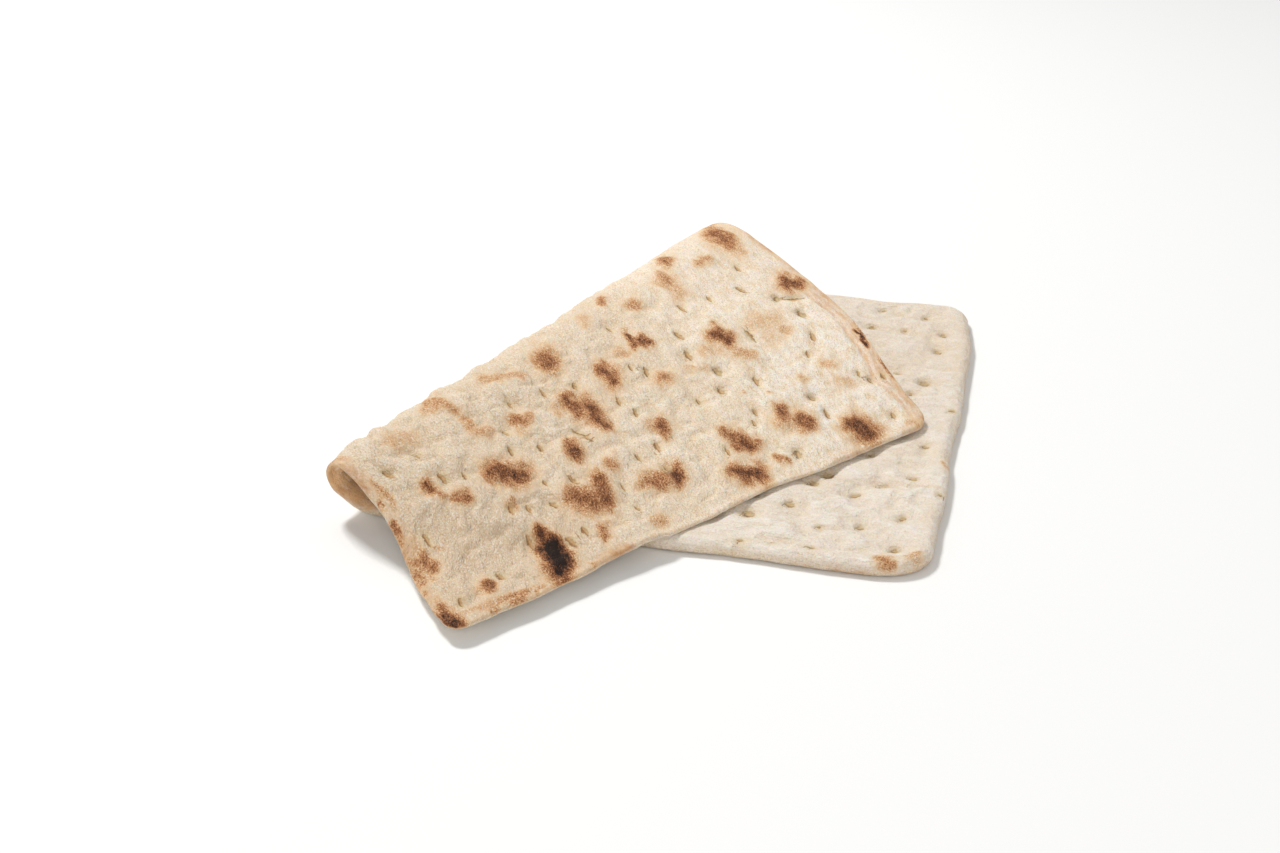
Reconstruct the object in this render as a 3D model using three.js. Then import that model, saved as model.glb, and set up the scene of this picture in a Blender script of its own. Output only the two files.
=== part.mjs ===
import * as THREE from 'three';

// A sourdough flatbread: one thin, docked, rectangular sheet whose end is folded over on a slant,
// so that the browned underside of the flap faces up. Millimetres, +Z up.
// +X runs along the fold, +Y points from the open side towards the fold.

// The sheet before folding: u runs along its length, v across its width.
const LENGTH = 380;
const WIDTH = 268;
const THICKNESS = 8;
const CORNER_RADIUS = 18;
const SIDE_BOW = 4;
const EDGE_WAVE = 1.1;
// Wave lengths of the uneven outline, in millimetres per radian.
const WAVE_LONG = 30;
const WAVE_SHORT = 12;
// The flap's front corner was pulled out a little: along u, its share along v, and how fast it fades.
const CORNER_PULL = 9;
const CORNER_PULL_SIDE = 0.7;
const CORNER_PULL_FADE = 5;

// The rim is baked thinner than the middle and rounds over.
const RIM_SHARE = 0.62;
const RIM_WIDTH = 16;
const RIM_ROUND = 2;
// The relief of the faces starts this far inside the rim and grows over this length.
const RELIEF_START = 3;
const RELIEF_GROWTH = 10;

// The fold line crosses the front side and the back side of the sheet at these u.
const FOLD_FRONT = 115;
const FOLD_BACK = 218;
// Length of dough that turns over in the fold, at both ends of the fold line.
const TURN_FRONT = 58;
const TURN_BACK = 98;
// Length over which the flap levels out before its free side.
const LAND_FRONT = 50;
const LAND_BACK = 46;
// Clear height between the flap and the layer it lies on.
const REST_GAP = 0.8;
// Sag of the corner that reaches past the lower layer, and its clear height over the floor.
const SAG = 0.0055;
const SAG_START = 5;
const SAG_FLOOR = 1;
const SAG_ROUNDING = 2.5;

// Docking holes and puffs of the two faces.
const DOCK_PITCH = 23;
const DOCK_RADIUS = 6;
const DOCK_DEPTH_PALE = 1.2;
const DOCK_DEPTH_BROWN = 0.6;
const DOCK_JITTER = 0.3;
const PUFF_PALE = 0.55;
const PUFF_BROWN = 0.4;
const PUFF_SMALL = 6;
const PUFF_LARGE = 11;
const PUFF_DRIFT = 20;
// The browned face is free of the floor this far past the start of the turn.
const LIFT_OFF = 25;
// The flat area that the bread rests on: its sides bow inwards, so that its corners carry the weight.
const REST_WAIST = 16;
const REST_HOLLOW = 0.4;

// Grid of the surface mesh.
const CELLS_FLAP = 19;
const CELLS_TURN = 16;
const CELLS_BASE = 22;
const CELLS_ACROSS = 32;
const EDGE_STEPS = [1, 2.5, 4.5, 6];
const END_STEP = 0.35;
const END_CELLS = 3;

const clamp = (x, a, b) => Math.min(Math.max(x, a), b);
const mix = (a, b, t) => a + (b - a) * t;
const smooth = (x) => {
  const t = clamp(x, 0, 1);
  return t * t * (3 - 2 * t);
};
const softFloor = (x, floor, width) => floor + width * Math.log1p(Math.exp((x - floor) / width));

// Fold frame in the sheet: xi along the fold line, s across it, counted towards the flap.
const foldRun = FOLD_BACK - FOLD_FRONT;
const foldLength = Math.hypot(foldRun, WIDTH);
const ex = foldRun / foldLength;
const ey = WIDTH / foldLength;
const toFold = (u, v) => ({
  xi: (u - FOLD_FRONT) * ex + v * ey,
  s: -(u - FOLD_FRONT) * ey + v * ex,
});
const freeFront = toFold(0, 0);
const freeBack = toFold(0, WIDTH);

// Side view of the fold at one place xi: the tangent angle grows from 0 to a little over half a
// turn, then eases back to exactly half a turn where the flap lies down. The excess angle is the
// one that brings the flap down to its resting height.
const S_FROM = -90;
const S_TO = 340;
const MOST_EXCESS = 1.4;
const HALVINGS = 30;
function foldProfile(xi) {
  const w = clamp(xi / foldLength, -0.3, 1.2);
  const turn = mix(TURN_FRONT, TURN_BACK, w);
  const land = mix(LAND_FRONT, LAND_BACK, w);
  const run = (xi - freeFront.xi) / (freeBack.xi - freeFront.xi);
  const free = Math.max(mix(freeFront.s, freeBack.s, run), turn / 2 + land);
  const rest = 1.5 * THICKNESS + REST_GAP;
  const angle = (s, excess) => {
    const t = clamp(s / turn + 0.5, 0, 1);
    const over = (Math.PI + excess) * (0.5 * t + 0.5 * smooth(t));
    return over - excess * smooth((s - free + land) / land);
  };
  const trace = (excess) => {
    const y = [S_FROM];
    const z = [THICKNESS / 2];
    const th = [0];
    for (let s = S_FROM; s < S_TO; s += 1) {
      const mid = angle(s + 0.5, excess);
      y.push(y[y.length - 1] + Math.cos(mid));
      z.push(z[z.length - 1] + Math.sin(mid));
      th.push(angle(s + 1, excess));
    }
    return { y, z, th, landed: z[Math.round(free - S_FROM)] };
  };
  let low = 0;
  let high = MOST_EXCESS;
  for (let k = 0; k < HALVINGS; k += 1) {
    const half = (low + high) / 2;
    if (trace(half).landed > rest) low = half;
    else high = half;
  }
  return trace((low + high) / 2);
}
const XI_FROM = -130;
const XI_STEP = 13;
const XI_CELLS = 40;
const profiles = [];
for (let k = 0; k <= XI_CELLS; k += 1) profiles.push(foldProfile(XI_FROM + k * XI_STEP));

// Point of the folded sheet at (u, v), set off from its middle surface; positive is the pale face.
function folded(u, v, off) {
  const { xi, s } = toFold(u, v);
  const fx = clamp((xi - XI_FROM) / XI_STEP, 0, XI_CELLS - 0.001);
  const fs = clamp(s - S_FROM, 0, S_TO - S_FROM - 0.001);
  const i = Math.floor(fx);
  const j = Math.floor(fs);
  const pick = (key) => {
    const a = profiles[i][key];
    const b = profiles[i + 1][key];
    return mix(mix(a[j], a[j + 1], fs - j), mix(b[j], b[j + 1], fs - j), fx - i);
  };
  let y = s < S_FROM ? s : pick('y');
  let z = pick('z');
  const th = pick('th');
  const past = -(xi * ey + y * ex) - SAG_START;
  if (s > 0 && past > 0) {
    z = softFloor(z - SAG * past * past, THICKNESS / 2 + SAG_FLOOR, SAG_ROUNDING);
  }
  y -= Math.sin(th) * off;
  z += Math.cos(th) * off;
  return [xi, y, z];
}

// Inward distance from the outline of the flat sheet.
function inset(u, v) {
  const qx = Math.abs(u - LENGTH / 2) - LENGTH / 2 + CORNER_RADIUS;
  const qy = Math.abs(v - WIDTH / 2) - WIDTH / 2 + CORNER_RADIUS;
  const outer = Math.hypot(Math.max(qx, 0), Math.max(qy, 0));
  return Math.max(CORNER_RADIUS - outer - Math.min(Math.max(qx, qy), 0), 0);
}

// Docking holes stand in offset rows, each a little out of line.
const jitter = (i, j, k) => {
  const x = Math.sin(i * 127.1 + j * 311.7 + k * 74.7) * 43758.5453;
  return x - Math.floor(x) - 0.5;
};
function docking(u, v) {
  const row = Math.round(v / DOCK_PITCH);
  let depth = 0;
  for (let j = row - 1; j <= row + 1; j += 1) {
    const shift = (j % 2) * 0.5;
    const column = Math.round(u / DOCK_PITCH - shift);
    for (let i = column - 1; i <= column + 1; i += 1) {
      const du = u - (i + shift + DOCK_JITTER * jitter(i, j, 1)) * DOCK_PITCH;
      const dv = v - (j + DOCK_JITTER * jitter(i, j, 2)) * DOCK_PITCH;
      depth = Math.max(depth, Math.exp(-(du * du + dv * dv) / (DOCK_RADIUS * DOCK_RADIUS)));
    }
  }
  return depth;
}
// Puffs: two sizes of drifting waves, between -1 and 1.
const puffs = (u, v) => {
  const driftU = Math.sin(v / PUFF_DRIFT);
  const driftV = Math.sin(u / PUFF_DRIFT);
  const small = Math.sin(u / PUFF_SMALL + driftU) * Math.sin(v / PUFF_SMALL + driftV);
  const large = Math.sin(u / PUFF_LARGE - driftU) * Math.sin(v / PUFF_LARGE - driftV);
  return (small + large) / 2;
};

// Offsets of the pale face, the rim and the browned face from the middle surface.
function faceOffset(u, v, pale) {
  const d = inset(u, v);
  const half = (rimWidth) => (THICKNESS / 2) * mix(RIM_SHARE, 1, smooth(d / rimWidth));
  const inside = smooth((d - RELIEF_START) / RELIEF_GROWTH);
  if (pale) {
    return half(RIM_WIDTH) + inside * (PUFF_PALE * puffs(u, v) - DOCK_DEPTH_PALE * docking(u, v));
  }
  // the browned face is flat where it rests, between its waisted sides and the start of the turn
  const past = toFold(u, v).s + mix(TURN_FRONT, TURN_BACK, v / WIDTH) / 2;
  const free = smooth(past / LIFT_OFF);
  const endWaist = REST_WAIST * 4 * (v / WIDTH) * (1 - v / WIDTH);
  const run = clamp(-past / (LENGTH - mix(FOLD_FRONT, FOLD_BACK, v / WIDTH)), 0, 1);
  const waist = Math.max(endWaist, REST_WAIST * 4 * run * (1 - run)) * (1 - free);
  const hollow = REST_HOLLOW * smooth((past + endWaist) / REST_WAIST);
  const low = PUFF_BROWN * (puffs(v, u) - 1) - DOCK_DEPTH_BROWN * docking(u, v);
  return -(half(RIM_WIDTH + waist) + inside * (free * low - hollow));
}

// Outline of the sheet: bowed sides with a slow wave, so that no side is a ruled line.
function outlined(u, v) {
  const a = (2 * u) / LENGTH - 1;
  const b = (2 * v) / WIDTH - 1;
  const wave = Math.sin(v / WAVE_LONG + 1) + 0.6 * Math.sin(v / WAVE_SHORT + 2 * a);
  const ripple = Math.sin(u / WAVE_LONG + 2) + 0.6 * Math.sin(u / WAVE_SHORT + 2 * b);
  const pull = CORNER_PULL * clamp(((1 - a) * (1 - b)) / 4, 0, 1) ** CORNER_PULL_FADE;
  return [
    u + a * (SIDE_BOW * (1 - b * b) + EDGE_WAVE * wave) - pull,
    v + b * (SIDE_BOW * (1 - a * a) + EDGE_WAVE * ripple) - CORNER_PULL_SIDE * pull,
  ];
}

// Rows across the width: fine steps at both long sides, even steps between.
const rows = [0];
EDGE_STEPS.forEach((step) => rows.push(rows[rows.length - 1] + step));
const rowStart = rows[rows.length - 1];
for (let k = 1; k < CELLS_ACROSS; k += 1) {
  rows.push(mix(rowStart, WIDTH - rowStart, k / CELLS_ACROSS));
}
rows.slice(0, EDGE_STEPS.length + 1).reverse().forEach((v) => rows.push(WIDTH - v));

// Shares of a run of cells that starts with short steps at the sheet's end.
function endShares(cells) {
  const steps = [];
  for (let k = 0; k < cells; k += 1) steps.push(mix(END_STEP, 1, smooth(k / END_CELLS)));
  const total = steps.reduce((a, b) => a + b, 0);
  const shares = [0];
  steps.forEach((step) => shares.push(shares[shares.length - 1] + step / total));
  return shares;
}
const flapShares = endShares(CELLS_FLAP);
const baseShares = endShares(CELLS_BASE).map((x) => 1 - x).reverse();

// Places along one row: the flap, the turn (parallel to the fold line), the base.
function columns(v) {
  const side = Math.max(CORNER_RADIUS - v, CORNER_RADIUS - (WIDTH - v), 0);
  const end = CORNER_RADIUS - Math.sqrt(Math.max(CORNER_RADIUS ** 2 - side ** 2, 0));
  const fold = mix(FOLD_FRONT, FOLD_BACK, v / WIDTH);
  const reach = (mix(TURN_FRONT, TURN_BACK, v / WIDTH) / 2) / ey;
  const list = flapShares.map((x) => mix(end, fold - reach, x));
  for (let k = 1; k < CELLS_TURN; k += 1) list.push(fold + reach * ((2 * k) / CELLS_TURN - 1));
  return list.concat(baseShares.map((x) => mix(fold + reach, LENGTH - end, x)));
}
const sheet = rows.map((v) => columns(v).map((u) => [u, v]));
const nv = sheet.length;
const nu = sheet[0].length;

// Vertices: pale face, browned face, then the rim's middle line.
const positions = [];
const pushPoint = (u, v, off) => {
  const [ou, ov] = outlined(u, v);
  positions.push(...folded(ou, ov, off));
  return positions.length / 3 - 1;
};
const pale = sheet.map((row) => row.map(([u, v]) => pushPoint(u, v, faceOffset(u, v, true))));
const brown = sheet.map((row) => row.map(([u, v]) => pushPoint(u, v, faceOffset(u, v, false))));

const faces = [];
for (let j = 0; j + 1 < nv; j += 1) {
  for (let i = 0; i + 1 < nu; i += 1) {
    const [a, b, c, d] = [[j, i], [j, i + 1], [j + 1, i + 1], [j + 1, i]];
    const at = (grid, [y, x]) => grid[y][x];
    faces.push(at(pale, a), at(pale, b), at(pale, c), at(pale, a), at(pale, c), at(pale, d));
    faces.push(at(brown, a), at(brown, c), at(brown, b), at(brown, a), at(brown, d), at(brown, c));
  }
}

// The rim closes the two faces with a rounded edge.
const ring = [];
for (let i = 0; i < nu - 1; i += 1) ring.push([0, i]);
for (let j = 0; j < nv - 1; j += 1) ring.push([j, nu - 1]);
for (let i = nu - 1; i > 0; i -= 1) ring.push([nv - 1, i]);
for (let j = nv - 1; j > 0; j -= 1) ring.push([j, 0]);
const edge = ring.map(([j, i], k) => {
  const [ja, ia] = ring[(k + ring.length - 1) % ring.length];
  const [jb, ib] = ring[(k + 1) % ring.length];
  const du = sheet[jb][ib][0] - sheet[ja][ia][0];
  const dv = sheet[jb][ib][1] - sheet[ja][ia][1];
  const length = Math.hypot(du, dv);
  const [u, v] = sheet[j][i];
  return pushPoint(u + (RIM_ROUND * dv) / length, v - (RIM_ROUND * du) / length, 0);
});
ring.forEach(([j, i], k) => {
  const next = (k + 1) % ring.length;
  const [jn, iN] = ring[next];
  faces.push(brown[j][i], brown[jn][iN], edge[next], brown[j][i], edge[next], edge[k]);
  faces.push(edge[k], edge[next], pale[jn][iN], edge[k], pale[jn][iN], pale[j][i]);
});

const geometry = new THREE.BufferGeometry();
geometry.setAttribute('position', new THREE.Float32BufferAttribute(positions, 3));
geometry.setIndex(faces);
geometry.computeBoundingBox();
const box = geometry.boundingBox;
geometry.translate(-(box.min.x + box.max.x) / 2, -(box.min.y + box.max.y) / 2, -box.min.z);
geometry.computeVertexNormals();

const crumb = new THREE.MeshStandardMaterial({ color: 0xdcc6a2, roughness: 0.9, metalness: 0 });
const flatbread = new THREE.Mesh(geometry, crumb);
flatbread.name = 'flatbread';

const part = new THREE.Group();
part.name = 'sourdough_flatbread';
part.add(flatbread);

export default part;
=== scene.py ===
# %% [markdown]
# # A sourdough flatbread, folded over on a slant
# The real object is one thin sheet of dough. It is docked with rows of holes so that it bakes flat,
# and it browns on its underside. One end is folded over, so the browned underside of that flap faces
# up and the pale top shows beside it. This lesson makes the bread as one surface worked out from two
# parameters, the length and the width of the sheet. The surface is folded, given its thickness and
# its relief, and coloured by what the oven did to each place of the sheet.

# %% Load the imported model
import math

import bpy
import numpy as np
from mathutils import Matrix


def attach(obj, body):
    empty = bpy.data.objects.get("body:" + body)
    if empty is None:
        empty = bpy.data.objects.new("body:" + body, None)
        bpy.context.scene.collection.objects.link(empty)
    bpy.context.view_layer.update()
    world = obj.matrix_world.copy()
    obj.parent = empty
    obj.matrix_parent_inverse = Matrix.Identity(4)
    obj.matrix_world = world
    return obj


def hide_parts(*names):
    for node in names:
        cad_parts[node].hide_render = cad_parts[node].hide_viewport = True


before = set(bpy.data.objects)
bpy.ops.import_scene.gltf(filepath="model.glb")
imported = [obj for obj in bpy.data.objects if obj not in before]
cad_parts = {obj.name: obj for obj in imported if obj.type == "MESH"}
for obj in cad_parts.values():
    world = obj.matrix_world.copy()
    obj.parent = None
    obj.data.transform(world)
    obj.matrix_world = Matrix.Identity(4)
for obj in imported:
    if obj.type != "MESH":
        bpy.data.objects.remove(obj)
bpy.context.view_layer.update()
MM = 0.001

# %% [markdown]
# ## The camera comes first
# The scorch marks further down are given by where they stand in the picture, so the camera is settled
# before the bread. It could be placed by eye and nudged until the picture fits. Here it follows from
# two angles, a distance, the point it looks at and a focal length in pixels, because the same few
# values can then also tell which place of the bread a picture point shows.

# %% Where the camera stands
PICTURE_WIDTH, PICTURE_HEIGHT = 1280, 853
FOCAL_PIXELS = 1677
AZIMUTH, ELEVATION = math.radians(-55.3), math.radians(28.3)
CAMERA_DISTANCE = 805.6
AIM = np.array([-23.95, 43.9, 10])

right = np.array([math.cos(AZIMUTH), math.sin(AZIMUTH), 0])
ahead = np.array([-math.sin(AZIMUTH), math.cos(AZIMUTH), 0])
towards_camera = -ahead * math.cos(ELEVATION) + np.array([0, 0, math.sin(ELEVATION)])
up = np.cross(towards_camera, right)
camera_place = AIM + CAMERA_DISTANCE * towards_camera


def to_pixels(points):
    """Perspective: the distance to the right of the camera's axis, and the distance above it, each
    divided by the depth along the axis and multiplied by the focal length."""
    ray = points - camera_place
    depth = -(ray @ towards_camera)
    across = PICTURE_WIDTH / 2 + FOCAL_PIXELS * (ray @ right) / depth
    down = PICTURE_HEIGHT / 2 - FOCAL_PIXELS * (ray @ up) / depth
    return np.stack([across, down], axis=-1)


print("the point it looks at appears at", to_pixels(AIM))

# %% Camera
SENSOR_WIDTH = 36
CLIP_NEAR, CLIP_FAR = 0.05, 50

camera_data = bpy.data.cameras.new("camera")
camera_data.sensor_width = SENSOR_WIDTH
camera_data.lens = SENSOR_WIDTH * FOCAL_PIXELS / PICTURE_WIDTH
camera_data.clip_start, camera_data.clip_end = CLIP_NEAR, CLIP_FAR
camera = bpy.data.objects.new("camera", camera_data)
camera_axes = np.stack([right, up, towards_camera], axis=1)
camera.matrix_world = Matrix.Translation(camera_place * MM) @ Matrix(camera_axes.tolist()).to_4x4()
bpy.context.scene.collection.objects.link(camera)
bpy.context.scene.camera = camera
print("lens, mm:", round(camera_data.lens, 1))

# %% [markdown]
# ## Small tools for arrays
# Everything below is worked out for all points of the surface at once, so the helpers take whole
# arrays. Uneven things such as dough need randomness that looks the same on each run. A noise texture
# of Blender could bend the mesh, but then the relief could not steer the colours. So the hills are
# made here, from seeded random heights on a square lattice.

# %% Array helpers
LATTICE = 128


def mix(a, b, share):
    """a where the share is 0, b where it is 1, and in proportion between."""
    return a + (b - a) * share


def smooth(x):
    """A step from 0 to 1 that starts and ends level: three times the square less twice the cube."""
    t = np.clip(x, 0, 1)
    return t * t * (3 - 2 * t)


def bell(x):
    """1 at zero and falling off on both sides: e to the power of minus the square."""
    return np.exp(-(x**2))


def hills(x, y, cell, seed):
    """Smooth random hills between -1 and 1: a random height at each lattice point, one cell apart,
    blended over each cell with the level step in both directions."""
    heights = np.random.default_rng(seed).uniform(-1, 1, (LATTICE, LATTICE))
    column, row = np.floor(x / cell).astype(int), np.floor(y / cell).astype(int)
    across, along = smooth(x / cell - column), smooth(y / cell - row)

    def corner(i, j):
        return heights[(column + i) % LATTICE, (row + j) % LATTICE]

    near = mix(corner(0, 0), corner(1, 0), across)
    far = mix(corner(0, 1), corner(1, 1), across)
    return mix(near, far, along)


print("a walk over hills:", hills(np.arange(5), np.zeros(5), cell=3, seed=1).round(2))

# %% [markdown]
# ## The fold
# On the real bread the end is laid over along a slanted line, rises in a loose roll and comes down
# again to the sheet. The roll could be bent by hand with lattice or curve modifiers. A side view of
# it is simpler: walking across the fold line, the direction of the dough turns from level through a
# bit more than half a turn, and eases back to half a turn where the flap lies down. Adding up the
# cosines and sines of that direction gives the side view, and a short search finds the extra turn
# that brings the flap down to its resting height. The roll is tighter at the front end of the fold.

# %% The sheet and its fold line
LENGTH, WIDTH, THICKNESS = 380, 268, 8
FOLD_FRONT, FOLD_BACK = 115, 218
TURN_FRONT, TURN_BACK = 58, 98

fold_length = math.hypot(FOLD_BACK - FOLD_FRONT, WIDTH)
fold_cos, fold_sin = (FOLD_BACK - FOLD_FRONT) / fold_length, WIDTH / fold_length


def turn_at(v):
    """The length of dough in the turn, which grows in proportion across the width."""
    return mix(TURN_FRONT, TURN_BACK, v / WIDTH)


def to_fold(u, v):
    """Turns the sheet's length and width into the distance along the fold line and across it,
    counted from the line towards the flap."""
    along = (u - FOLD_FRONT) * fold_cos + v * fold_sin
    across = -(u - FOLD_FRONT) * fold_sin + v * fold_cos
    return along, across


def from_fold(along, across):
    """The way back, from the distance along the fold line and across it to the length and width."""
    return FOLD_FRONT + along * fold_cos - across * fold_sin, along * fold_sin + across * fold_cos


print("fold line, mm:", round(fold_length, 1))

# %% Side views of the fold
LAND_FRONT, LAND_BACK = 50, 46
REST_GAP = 0.8
# The middle surface of the resting flap is one layer, half a layer and a gap up.
FLAP_LEVEL = 1.5 * THICKNESS + REST_GAP
ALONG_FROM, ALONG_STEP, ALONG_COUNT = -130, 4, 132
ACROSS_FROM, ACROSS_TO = -90, 340
SHARE_LEAST, SHARE_MOST = -0.3, 1.2
MOST_EXCESS, HALVINGS = 1.4, 30


def side_views():
    """One side view for each place along the fold. The direction is half a turn plus the excess,
    times the mean of a straight and a level step over the turn, less the excess times a level step
    over the landing. Its cosines and sines add up to the sideways place and the height."""
    along = ALONG_FROM + ALONG_STEP * np.arange(ALONG_COUNT)[:, None]
    across = np.arange(ACROSS_FROM, ACROSS_TO + 1)[None, :]
    share = np.clip(along / fold_length, SHARE_LEAST, SHARE_MOST)
    turn = mix(TURN_FRONT, TURN_BACK, share)
    land = mix(LAND_FRONT, LAND_BACK, share)
    free_ends = [to_fold(0, 0), to_fold(0, WIDTH)]
    run = (along - free_ends[0][0]) / (free_ends[1][0] - free_ends[0][0])
    free = np.maximum(mix(free_ends[0][1], free_ends[1][1], run), turn / 2 + land)
    landing = np.round(free - ACROSS_FROM).astype(int)

    def direction(at, excess):
        t = np.clip(at / turn + 0.5, 0, 1)
        over = (math.pi + excess) * (0.5 * t + 0.5 * smooth(t))
        return over - excess * smooth((at - free + land) / land)

    def trace(excess):
        middle = direction(across[:, :-1] + 0.5, excess)
        start = np.zeros_like(along)
        side = ACROSS_FROM + np.hstack([start, np.cumsum(np.cos(middle), axis=1)])
        height = THICKNESS / 2 + np.hstack([start, np.cumsum(np.sin(middle), axis=1)])
        return side, height

    low, high = np.zeros_like(along), np.full_like(along, MOST_EXCESS, dtype=float)
    for _ in range(HALVINGS):
        half = (low + high) / 2
        too_high = np.take_along_axis(trace(half)[1], landing, axis=1) > FLAP_LEVEL
        low, high = np.where(too_high, half, low), np.where(too_high, high, half)
    side, height = trace(low)
    return side, height, direction(across, low)


fold_side, fold_height, fold_direction = side_views()
rows = ((np.array([0, fold_length / 2, fold_length]) - ALONG_FROM) / ALONG_STEP).astype(int)
print("height of the roll, front, middle and back, mm:", fold_height.max(axis=1)[rows].round(1))

# %% [markdown]
# ## From the flat sheet to the folded one
# With the side views in a table, a point of the flat sheet is folded by looking up its place. Three
# small changes of height are added after the look-up. The flap swells a little here and there, its
# free side comes down onto the layer below, and its front corner, which reaches past that layer,
# sags to just above the floor. Cloth simulation could find such a sag too, but dough is stiff and
# these few formulas keep the fold as it was fitted.

# %% Folding
FOLD_PLACE = np.array([-148.51, 126.62, 0])
FLAP_FROM, FLAP_RUN = 40, 50
SAG, SAG_START, SAG_FLOOR, SAG_ROUNDING = 0.0055, 5, 1, 2.5
DROOP, DROOP_WIDTH = 5.1, 36
SWELL, SWELL_CELL, SWELL_RUN = 0.9, 48, 60
TINY = 0.001


def look_up(table, along, across):
    """Reads a table of side views between its entries, in proportion in both directions."""
    row = np.clip((along - ALONG_FROM) / ALONG_STEP, 0, ALONG_COUNT - 1 - TINY)
    column = np.clip(across - ACROSS_FROM, 0, ACROSS_TO - ACROSS_FROM - TINY)
    i, j = row.astype(int), column.astype(int)
    near = mix(table[i, j], table[i, j + 1], column - j)
    far = mix(table[i + 1, j], table[i + 1, j + 1], column - j)
    return mix(near, far, row - i)


def soft_floor(x, floor, rounding):
    """x where it is well above the floor, the floor where it is below, with a round bend between."""
    return floor + rounding * np.logaddexp(0, (x - floor) / rounding)


def folded(u, v, off, bed=0):
    """The point of the folded sheet at (u, v), set off from its middle surface along the normal of
    the side view; positive is the pale face. The front end of the fold line lies at FOLD_PLACE. The
    free side of the flap comes down to the bed, the relief of the layer that it lies on."""
    along, across = to_fold(u, v)
    side = np.where(across < ACROSS_FROM, across, look_up(fold_side, along, across))
    height = look_up(fold_height, along, across)
    direction = look_up(fold_direction, along, across)
    on_flap = smooth((across - FLAP_FROM) / FLAP_RUN)
    swell = SWELL * (1 + hills(u, v, SWELL_CELL, seed=11)) * smooth(u / SWELL_RUN)
    droop = (DROOP - bed) * (1 - smooth(u / DROOP_WIDTH))
    height = height + on_flap * (swell - droop)
    past = np.where(across > 0, -(along * fold_sin + side * fold_cos) - SAG_START, 0)
    sunk = soft_floor(height - SAG * past**2, THICKNESS / 2 + SAG_FLOOR, SAG_ROUNDING)
    height = np.where(past > 0, sunk, height)
    side, height = side - np.sin(direction) * off, height + np.cos(direction) * off
    return np.stack([along, side, height], axis=-1) + FOLD_PLACE


corner = folded(np.zeros(1), np.zeros(1), 0)[0]
print("front corner of the flap, before its outline is drawn, mm:", corner.round(1))

# %% [markdown]
# ## The outline and the grid
# A baked sheet has bowed, slightly wavy sides and round corners. The grid of points follows it: each
# row runs from one end of the sheet to the other, and its columns keep parallel to the fold line in
# the turn, where the dough bends most. Steps are finer on the flap, which carries the scorch marks,
# than on the layer below. Columns could simply be straight, but then the bend would cut across them.

# %% Outline
SIDE_BOW, FREE_SIDE_BOW = 4, 2
EDGE_WAVE, WAVE_LONG, WAVE_SHORT, SHORT_SHARE, PHASE_DRIFT = 1.1, 30, 12, 0.6, 2
NIBBLE, NIBBLE_CELL = 0.45, 7
CORNER_PULL, CORNER_PULL_SIDE, CORNER_PULL_FADE = 10, 0.85, 5
EDGE_FROM, EDGE_RISE = 0.5, 3
END_BOW, END_BOW_PLACE, END_BOW_WIDTH = 11.5, 95, 54
END_TRIM, END_TRIM_TO, END_TRIM_RUN = 7.5, 300, 80
CURL_BOW, CURL_PLACE, CURL_WIDTH = 3, 112, 35
FRONT_TRIM, FRONT_TRIM_PLACE, FRONT_TRIM_WIDTH = 5.5, 52, 28
FREE_TRIM, FREE_TRIM_FROM, FREE_TRIM_RUN, FREE_TRIM_FADE = 8, 95, 95, 110


def edge_wave(along, shift, across):
    """A slow wave along a side and a fast, weaker one whose phase drifts across the sheet."""
    fast = np.sin(along / WAVE_SHORT + PHASE_DRIFT * across)
    return np.sin(along / WAVE_LONG + shift) + SHORT_SHARE * fast


def outlined(u, v):
    """Moves the rectangle's sides out: a bow that is largest mid-side, a slow and a fast wave, small
    random nibbles, and the pull on the flap's front corner, which fades with a power. The flap's far
    end bulges in its middle and is short at both its corners, its free side is cut back towards that
    end, the roll's front end sticks out and the flap's front end beside it is hollow."""
    a, b = 2 * u / LENGTH - 1, 2 * v / WIDTH - 1
    pull = CORNER_PULL * np.clip((1 - a) * (1 - b) / 4, 0, 1) ** CORNER_PULL_FADE
    bow_u = mix(FREE_SIDE_BOW, SIDE_BOW, smooth(u / LENGTH)) * (1 - b * b)
    bow_u += EDGE_WAVE * edge_wave(v, shift=1, across=a) + NIBBLE * hills(u, v, NIBBLE_CELL, seed=21)
    bow_v = SIDE_BOW * (1 - a * a)
    bow_v += EDGE_WAVE * edge_wave(u, shift=2, across=b) + NIBBLE * hills(u, v, NIBBLE_CELL, seed=22)
    bulge = END_BOW * bell((u - END_BOW_PLACE) / END_BOW_WIDTH)
    bulge -= END_TRIM * smooth((END_TRIM_TO - u) / END_TRIM_RUN)
    curl = CURL_BOW * bell((u - CURL_PLACE) / CURL_WIDTH)
    curl -= FRONT_TRIM * bell((u - FRONT_TRIM_PLACE) / FRONT_TRIM_WIDTH)
    ends = bulge * smooth(EDGE_RISE * (b - EDGE_FROM)) - curl * smooth(-EDGE_RISE * (b + EDGE_FROM))
    trim = FREE_TRIM * smooth((v - FREE_TRIM_FROM) / FREE_TRIM_RUN) * smooth(1 - u / FREE_TRIM_FADE)
    return u + a * bow_u - pull + trim, v + b * bow_v - CORNER_PULL_SIDE * pull + ends


middle_of_end = outlined(np.array([END_BOW_PLACE]), np.array([WIDTH]))
print("middle of the far end on the sheet, mm:", np.ravel(middle_of_end).round(1))

# %% Round corners
CORNER_RADII = ((7, 10), (18, 12))


def corner_radius(u, v):
    """The radius of the nearest corner."""
    return np.array(CORNER_RADII)[(u > LENGTH / 2).astype(int), (v > WIDTH / 2).astype(int)]


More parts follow.
